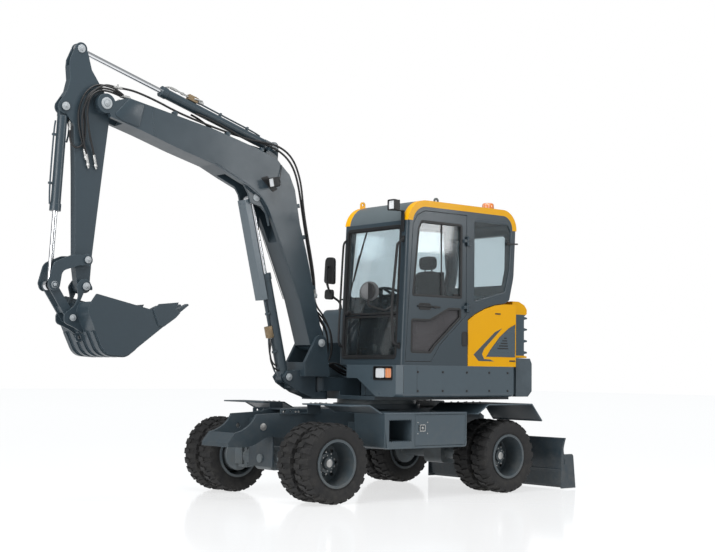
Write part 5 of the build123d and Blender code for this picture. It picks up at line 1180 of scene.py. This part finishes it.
boomTurn = cylinderTurn((1.186, 1.132), (1.598, 2.817))
block = valveBlock(0.077, 0.012, 0.455, 0.056, boomTurn)
finishPiece(block, "boom_valve_block", "brass", "boom_cylinder_barrel")
boomPipes = [
    tubePiece([(0.060, 0.030, 0.900), (0.078, 0.040, 0.880), (0.080, 0.040, 0.700), (0.078, 0.030, 0.560),
               (0.070, 0.020, 0.510)], 0.0085),
    tubePiece([(0.066, -0.020, 0.060), (0.080, -0.030, 0.120), (0.080, -0.030, 0.330),
               (0.075, -0.010, 0.400)], 0.0085),
]
for along in (0.25, 0.62, 0.80):
    boomPipes.append(boxPiece((0.050, 0.018, along), (0.092, 0.052, along + 0.022), 0.004))
boomPipes.append(barPiece((0, 0, 0.952), (0, 0, 1.006), 0.0618, 0.002, 6))
finishPiece(placeParts(boomPipes, boomTurn), "boom_cylinder_pipes", "slate", "boom_cylinder_barrel")

armTurn = cylinderTurn((1.372, 3.327), (3.436, 3.946))
block = valveBlock(-0.074, 0.0, 0.965, 0.052, armTurn)
finishPiece(block, "arm_valve_block", "brass", "arm_cylinder_barrel")
armSilver = [
    tubePiece([(-0.052, 0.012, 1.262), (-0.070, 0.014, 1.240), (-0.071, 0.014, 1.150),
               (-0.072, 0.010, 1.020)], 0.0085),
    barPiece((-0.070, 0.014, 1.150), (-0.070, 0.014, 1.215), 0.0125, 0.002, 18),
    barPiece((-0.070, 0.014, 1.070), (-0.070, 0.014, 1.100), 0.0135, 0.002, 6),
    barPiece((-0.074, 0.016, 0.905), (-0.074, 0.016, 0.850), 0.0125, 0.002, 18),
    barPiece((-0.074, -0.016, 0.905), (-0.074, -0.016, 0.860), 0.0125, 0.002, 18),
    barPiece((-0.110, 0.0, 0.935), (-0.098, 0.0, 0.935), 0.010, 0.002, 6),
    tubePiece([(-0.074, 0.030, 0.960), (-0.078, 0.048, 0.930), (-0.080, 0.048, 0.880)], 0.007),
]
finishPiece(placeParts(armSilver, armTurn), "arm_cylinder_fittings", "zinc", "arm_cylinder_barrel")
armPipes = [
    tubePiece([(-0.060, -0.014, 0.150), (-0.070, -0.014, 0.200), (-0.070, -0.014, 0.600),
               (-0.072, -0.010, 0.900)], 0.008),
    barPiece((0, 0, 1.240), (0, 0, 1.294), 0.0525, 0.002, 8),
]
for along in (0.30, 0.62):
    armPipes.append(boxPiece((-0.084, -0.028, along), (-0.042, 0.004, along + 0.020), 0.004))
finishPiece(placeParts(armPipes, armTurn), "arm_cylinder_pipes", "slate", "arm_cylinder_barrel")

bucketTurn = cylinderTurn((3.574, 3.423), (3.658, 1.889))
bucketPipes = [
    tubePiece([(-0.060, 0.0, 0.130), (-0.068, 0.0, 0.180), (-0.068, 0.0, 0.500), (-0.066, 0.0, 0.760),
               (-0.055, 0.0, 0.850)], 0.0075),
    tubePiece([(0.052, 0.0, 0.120), (0.068, 0.0, 0.150), (0.070, 0.0, 0.240), (0.056, 0.0, 0.300)], 0.008),
    barPiece((0, 0, 0.845), (0, 0, 0.899), 0.0495, 0.002, 8),
]
for along in (0.24, 0.66):
    bucketPipes.append(boxPiece((-0.080, -0.014, along), (-0.040, 0.014, along + 0.020), 0.004))
finishPiece(placeParts(bucketPipes, bucketTurn), "bucket_cylinder_pipes", "slate", "bucket_cylinder_barrel")
print("stage: cylinder trim")

# fenders: a rounded lip round the free edges and bolt heads over the brackets
fenderLips = {
    "radius": 0.007,
    "front": ((0.792, 0.807), (0.942, 0.881), (1.178, 0.881)),
    "rear": ((-0.452, 0.793), (-0.600, 0.881), (-1.226, 0.881), (-1.374, 0.713)),
    "edge": 0.999, "inner": 0.310, "boltFoot": 0.887, "boltTop": 0.896,
    "frontBolts": (0.985, 1.040, 1.095), "rearBolts": (-0.740, -0.840, -0.960, -1.060),
}
lipParts, fenderBolts = [], []
for side in (1, -1):
    for run in (fenderLips["front"], fenderLips["rear"]):
        for y in (fenderLips["edge"], fenderLips["inner"]):
            for start, end in zip(run, run[1:]):
                lipParts.append(barPiece((start[0], side * y, start[1]), (end[0], side * y, end[1]),
                                         fenderLips["radius"], 0.001, 16))
        for x, z in (run[0], run[-1]):
            lipParts.append(barPiece((x, side * fenderLips["inner"], z), (x, side * fenderLips["edge"], z),
                                     fenderLips["radius"], 0.001, 16))
    for x in fenderLips["frontBolts"] + fenderLips["rearBolts"]:
        for y in (0.325, 0.420):
            fenderBolts.append(barPiece((x, side * y, fenderLips["boltFoot"]),
                                        (x, side * y, fenderLips["boltTop"]), 0.010, 0.0015, 6))
finishPiece(joinPieces(lipParts), "fender_lips", "skirt", "chassis")
finishPiece(joinPieces(fenderBolts), "fender_bolts", "zinc", "chassis")
print("stage: fenders")

# locker latch: a pressed dish with a turning key, held by four screws
latch = {"x": 0.281, "z": 0.668, "face": 1.0}
latchOutline = roundedRectangle(latch["x"] - 0.036, latch["z"] - 0.032, latch["x"] + 0.036,
                                latch["z"] + 0.032, 0.008)
latchParts = [
    framePiece(latchOutline, 1, latch["face"] - 0.001, latch["face"] + 0.003, 0.007, 0.001),
    barPiece((latch["x"], 0.994, latch["z"]), (latch["x"], 1.003, latch["z"]), 0.013, 0.002, 24),
    boxPiece((latch["x"] - 0.003, 1.001, latch["z"] - 0.010), (latch["x"] + 0.003, 1.006, latch["z"] + 0.010),
             0.001),
]
for x in (-0.062, 0.062):
    for z in (-0.052, 0.052):
        latchParts.append(barPiece((latch["x"] + x, 0.999, latch["z"] + z),
                                   (latch["x"] + x, 1.004, latch["z"] + z), 0.006, 0.001, 6))
finishPiece(joinPieces(latchParts), "locker_latch", "zinc", "toolbox_door")

# boxes: a rolled rim round each outer face
boxRim = {"low": (-0.296, 0.483), "high": (0.755, 0.810), "width": 0.010}
for side in (1, -1):
    rimOutline = roundedRectangle(*boxRim["low"], *boxRim["high"], 0.02)
    rim = framePiece(rimOutline, 1, side * 1.000 - 0.002, side * 1.000 + 0.002, boxRim["width"], 0.001)
    finishPiece(rim, f"box_rim_{'left' if side > 0 else 'right'}", "skirt", "chassis")

# frame: round caps at its front end, bolts along the brackets and round the slew ring
frameParts = []
for side in (1, -1):
    frameParts.append(barPiece((1.562, side * 0.212, 0.669), (1.562, side * 0.220, 0.669), 0.034, 0.002, 32))
    frameParts.append(barPiece((1.562, side * 0.219, 0.669), (1.562, side * 0.226, 0.669), 0.012, 0.001, 6))
    for x in (1.165, 1.200, 1.345):
        frameParts.append(barPiece((x, side * 0.225, 0.806), (x, side * 0.234, 0.806), 0.009, 0.001, 6))
finishPiece(joinPieces(frameParts), "frame_caps", "zinc", "chassis")
ringBolts = {"radius": 0.385, "count": 30, "foot": 0.862, "head": 0.874}
ringHeads = []
for step in range(ringBolts["count"]):
    turn = 2 * math.pi * step / ringBolts["count"]
    x, y = ringBolts["radius"] * math.cos(turn), ringBolts["radius"] * math.sin(turn)
    ringHeads.append(barPiece((x, y, ringBolts["foot"]), (x, y, ringBolts["head"]), 0.011, 0.0015, 6))
finishPiece(joinPieces(ringHeads), "slew_ring_bolts", "zinc", "chassis")
print("stage: chassis trim")

# blade: bolted cutting edge, weld beads along the gussets
edgeBolts = (-0.90, -0.60, -0.30, 0.0, 0.30, 0.60, 0.90)
bladeParts = [boxPiece((-1.7905, -0.994, 0.014), (-1.7755, 0.994, 0.105), 0.003)]
for y in edgeBolts:
    bladeParts.append(barPiece((-1.797, y, 0.062), (-1.787, y, 0.062), 0.014, 0.002, 24, 0.011))
finishPiece(joinPieces(bladeParts), "blade_edge", "steel", "blade")
bladeWelds = []
for y in (0.985, 0.850, 0.420, -0.420, -0.850, -0.985):
    for side in (-1, 1):
        bladeWelds.append(tubePiece([(-1.720, y + side * 0.0085, 0.364), (-1.700, y + side * 0.0085, 0.364),
                                     (-1.680, y + side * 0.0085, 0.3635)], 0.004))
finishPiece(joinPieces(bladeWelds), "blade_welds", "chassis", "blade")

# weld beads on the boom's sides, behind its nose
boomBeads = []
for side in (1, -1):
    y = side * 0.1205
    boomBeads.append(tubePiece([(2.880, y, 3.390), (2.945, y, 3.462), (3.005, y, 3.535)], 0.0035))
finishPiece(joinPieces(boomBeads), "boom_welds", "slate", "boom")
print("stage: welds")

# right-hand covers: louvres, latch and hinges; grip strips, the filler cap and the exhaust on top
rightParts, rightSteel, gripParts = [], [], []
ventOutline = roundedRectangle(-0.960, 1.420, -0.560, 1.700, 0.03)
rightParts.append(framePiece(ventOutline, 1, -0.956, -0.949, 0.018, 0.002))
for step in range(9):
    z = 1.448 + 0.028 * step
    rightParts.append(boxPiece((-0.944, -0.957, z), (-0.576, -0.949, z + 0.015), 0.003))
for z in (1.400, 1.720):
    rightSteel.append(barPiece((-0.400, -0.956, z - 0.030), (-0.400, -0.956, z + 0.030), 0.009, 0.0015, 20))
    rightSteel.append(boxPiece((-0.430, -0.955, z - 0.026), (-0.370, -0.949, z + 0.026), 0.003))
latchPad = boxPiece((-0.170, -0.957, 1.540), (-0.070, -0.949, 1.590), 0.004)
rightParts += [latchPad, boxPiece((-0.150, -0.964, 1.555), (-0.090, -0.955, 1.575), 0.004)]
finishPiece(joinPieces(rightParts), "right_cover_vents", "dark", "upper")
finishPiece(joinPieces(rightSteel), "right_cover_hinges", "zinc", "upper")
for x, top in ((-0.380, 1.850), (-0.280, 1.850), (-0.180, 1.850), (0.020, 1.480), (0.110, 1.480),
               (0.200, 1.480)):
    gripParts.append(boxPiece((x, -0.850, top - 0.0005), (x + 0.040, -0.380, top + 0.0045), 0.002))
finishPiece(joinPieces(gripParts), "grip_strips", "dark", "upper")
cap = joinPieces([barPiece((0.360, -0.520, 1.4795), (0.360, -0.520, 1.496), 0.056, 0.004, 40),
                  barPiece((0.360, -0.520, 1.494), (0.360, -0.520, 1.514), 0.044, 0.004, 12)])
finishPiece(cap, "filler_cap", "dark", "upper")
exhaust = joinPieces([
    tubePiece([(-0.760, -0.700, 1.840), (-0.760, -0.700, 1.960), (-0.775, -0.700, 2.025),
               (-0.820, -0.700, 2.060)], 0.030),
    barPiece((-0.760, -0.700, 1.8495), (-0.760, -0.700, 1.860), 0.048, 0.003, 32),
])
finishPiece(exhaust, "exhaust_stack", "iron", "upper")

# tail: lamps let into the counterweight's corners, and the rear hood's handle
tailLamps, tailGlass = [], []
for side in (1, -1):
    turn = math.radians(180 - side * 30)
    centre = Vector((math.cos(turn), math.sin(turn), 0))
    along = Vector((-centre.y, centre.x, 0))
    radius = 1.591
    base = centre * (radius - 0.012) + Vector((0, 0, 1.170))
    lampBody = barPiece(base - along * 0.075, base + along * 0.075, 0.026, 0.006, 24)
    tailLamps.append(lampBody)
    for offset in (-0.038, 0.038):
        middle = base + along * offset
        tailGlass.append(barPiece(middle + centre * 0.010, middle + centre * 0.0165, 0.021, 0.003, 28, 0.017))
finishPiece(joinPieces(tailLamps), "tail_lamp_cases", "dark", "upper")
finishPiece(joinPieces(tailGlass), "tail_lamps", "orangeLens", "upper")
hoodHandle = joinPieces([
    tubePiece([(-1.500, -0.090, 1.415), (-1.524, -0.075, 1.415), (-1.530, 0.0, 1.415), (-1.524, 0.075, 1.415),
               (-1.500, 0.090, 1.415)], 0.009),
    barPiece((-1.498, 0.0, 1.470), (-1.512, 0.0, 1.470), 0.018, 0.002, 24),
])
finishPiece(hoodHandle, "rear_hood_handle", "dark", "rear_hood")
print("stage: covers and tail")

# grab rail up the cab's right front corner
rail = joinPieces([
    tubePiece([(0.528, 0.090, 1.430), (0.572, 0.090, 1.445), (0.580, 0.090, 1.520), (0.556, 0.090, 1.980),
               (0.534, 0.090, 2.400), (0.524, 0.090, 2.470), (0.492, 0.090, 2.485)], 0.011),
    barPiece((0.530, 0.090, 1.900), (0.560, 0.090, 1.900), 0.008, 0.001, 16),
])
finishPiece(rail, "grab_rail", "dark", "upper")
print("stage: grab rail")


# stage: floor, light and camera
stageLook = {"floorLow": 0.16, "floorSeen": 0.68, "world": 0.36}


def makeStage():
    bpy.ops.object.select_all(action="DESELECT")
    bpy.ops.mesh.primitive_plane_add(size=120, location=(0, 0, 0))
    floor = bpy.context.object
    floor.name = "studioFloor"
    material = bpy.data.materials.new("paleFloor")
    material.use_nodes = True
    tree = material.node_tree
    shader = tree.nodes["Principled BSDF"]
    coords = tree.nodes.new("ShaderNodeTexCoord").outputs["Object"]
    mottled = noiseNode(tree, coords, 0.8, 3.0)
    tree.links.new(mixColour(tree, mottled, (0.42, 0.43, 0.44, 1.0), (0.46, 0.47, 0.48, 1.0)),
                   shader.inputs["Base Color"])
    shader.inputs["Roughness"].default_value = 0.11
    shader.inputs["Specular IOR Level"].default_value = 0.6
    shader.inputs["Emission Color"].default_value = (1.0, 1.0, 1.0, 1.0)
    rays = tree.nodes.new("ShaderNodeLightPath")
    seen = mathNode(tree, "MAXIMUM", rays.outputs["Is Camera Ray"], rays.outputs["Is Glossy Ray"])
    seen = mathNode(tree, "MAXIMUM", seen, rays.outputs["Is Transmission Ray"])
    tree.links.new(rangeNode(tree, seen, 0.0, 1.0, stageLook["floorLow"], stageLook["floorSeen"]),
                   shader.inputs["Emission Strength"])
    floor.data.materials.append(material)

    world = bpy.data.worlds.new("studioWorld")
    bpy.context.scene.world = world
    world.use_nodes = True
    tree = world.node_tree
    tree.nodes["Background"].inputs["Strength"].default_value = stageLook["world"]
    tree.nodes["Background"].inputs["Color"].default_value = (0.95, 0.98, 1.0, 1.0)
    white = tree.nodes.new("ShaderNodeBackground")
    white.inputs["Strength"].default_value = 1.0
    white.inputs["Color"].default_value = (1.0, 1.0, 1.0, 1.0)
    path = tree.nodes.new("ShaderNodeLightPath")
    mix = tree.nodes.new("ShaderNodeMixShader")
    seen = mathNode(tree, "MAXIMUM", path.outputs["Is Camera Ray"], path.outputs["Is Transmission Ray"])
    tree.links.new(seen, mix.inputs[0])
    tree.links.new(tree.nodes["Background"].outputs[0], mix.inputs[1])
    tree.links.new(white.outputs[0], mix.inputs[2])
    tree.links.new(mix.outputs[0], tree.nodes["World Output"].inputs[0])

    lights = (
        # name, place, target, size, power
        ("keyAbove", (3.0, 2.0, 8.0), (0.4, 0, 1.2), 5.0, 360),
        ("frontSide", (9.5, 3.0, 3.2), (1.5, 0, 1.2), 4.0, 300),
        ("rearRim", (-5.0, 8.0, 4.6), (-0.4, 0, 1.2), 3.0, 210),
    )
    for name, place, target, size, power in lights:
        data = bpy.data.lights.new(name, "AREA")
        data.shape = "SQUARE"
        data.size = size
        data.energy = power
        light = bpy.data.objects.new(name, data)
        bpy.context.scene.collection.objects.link(light)
        light.location = place
        light.rotation_euler = (Vector(target) - Vector(place)).to_track_quat("-Z", "Y").to_euler()


def makeCamera():
    right = Vector((-0.76795387, 0.64039044, 0.01212206))
    up = Vector((0.05529933, 0.04743588, 0.99734238))
    back = Vector((0.6381135, 0.76658328, -0.07184172))
    data = bpy.data.cameras.new("photoCamera")
    data.sensor_width = 36.0
    data.lens = 66.72
    camera = bpy.data.objects.new("photoCamera", data)
    bpy.context.scene.collection.objects.link(camera)
    turn = Matrix((right, up, back)).transposed().to_4x4()
    camera.matrix_world = Matrix.Translation((8.8031, 10.2512, 1.1926)) @ turn
    bpy.context.scene.camera = camera


makeStage()
makeCamera()
bpy.context.scene.view_settings.view_transform = "Standard"
print("stage: floor, light and camera set")
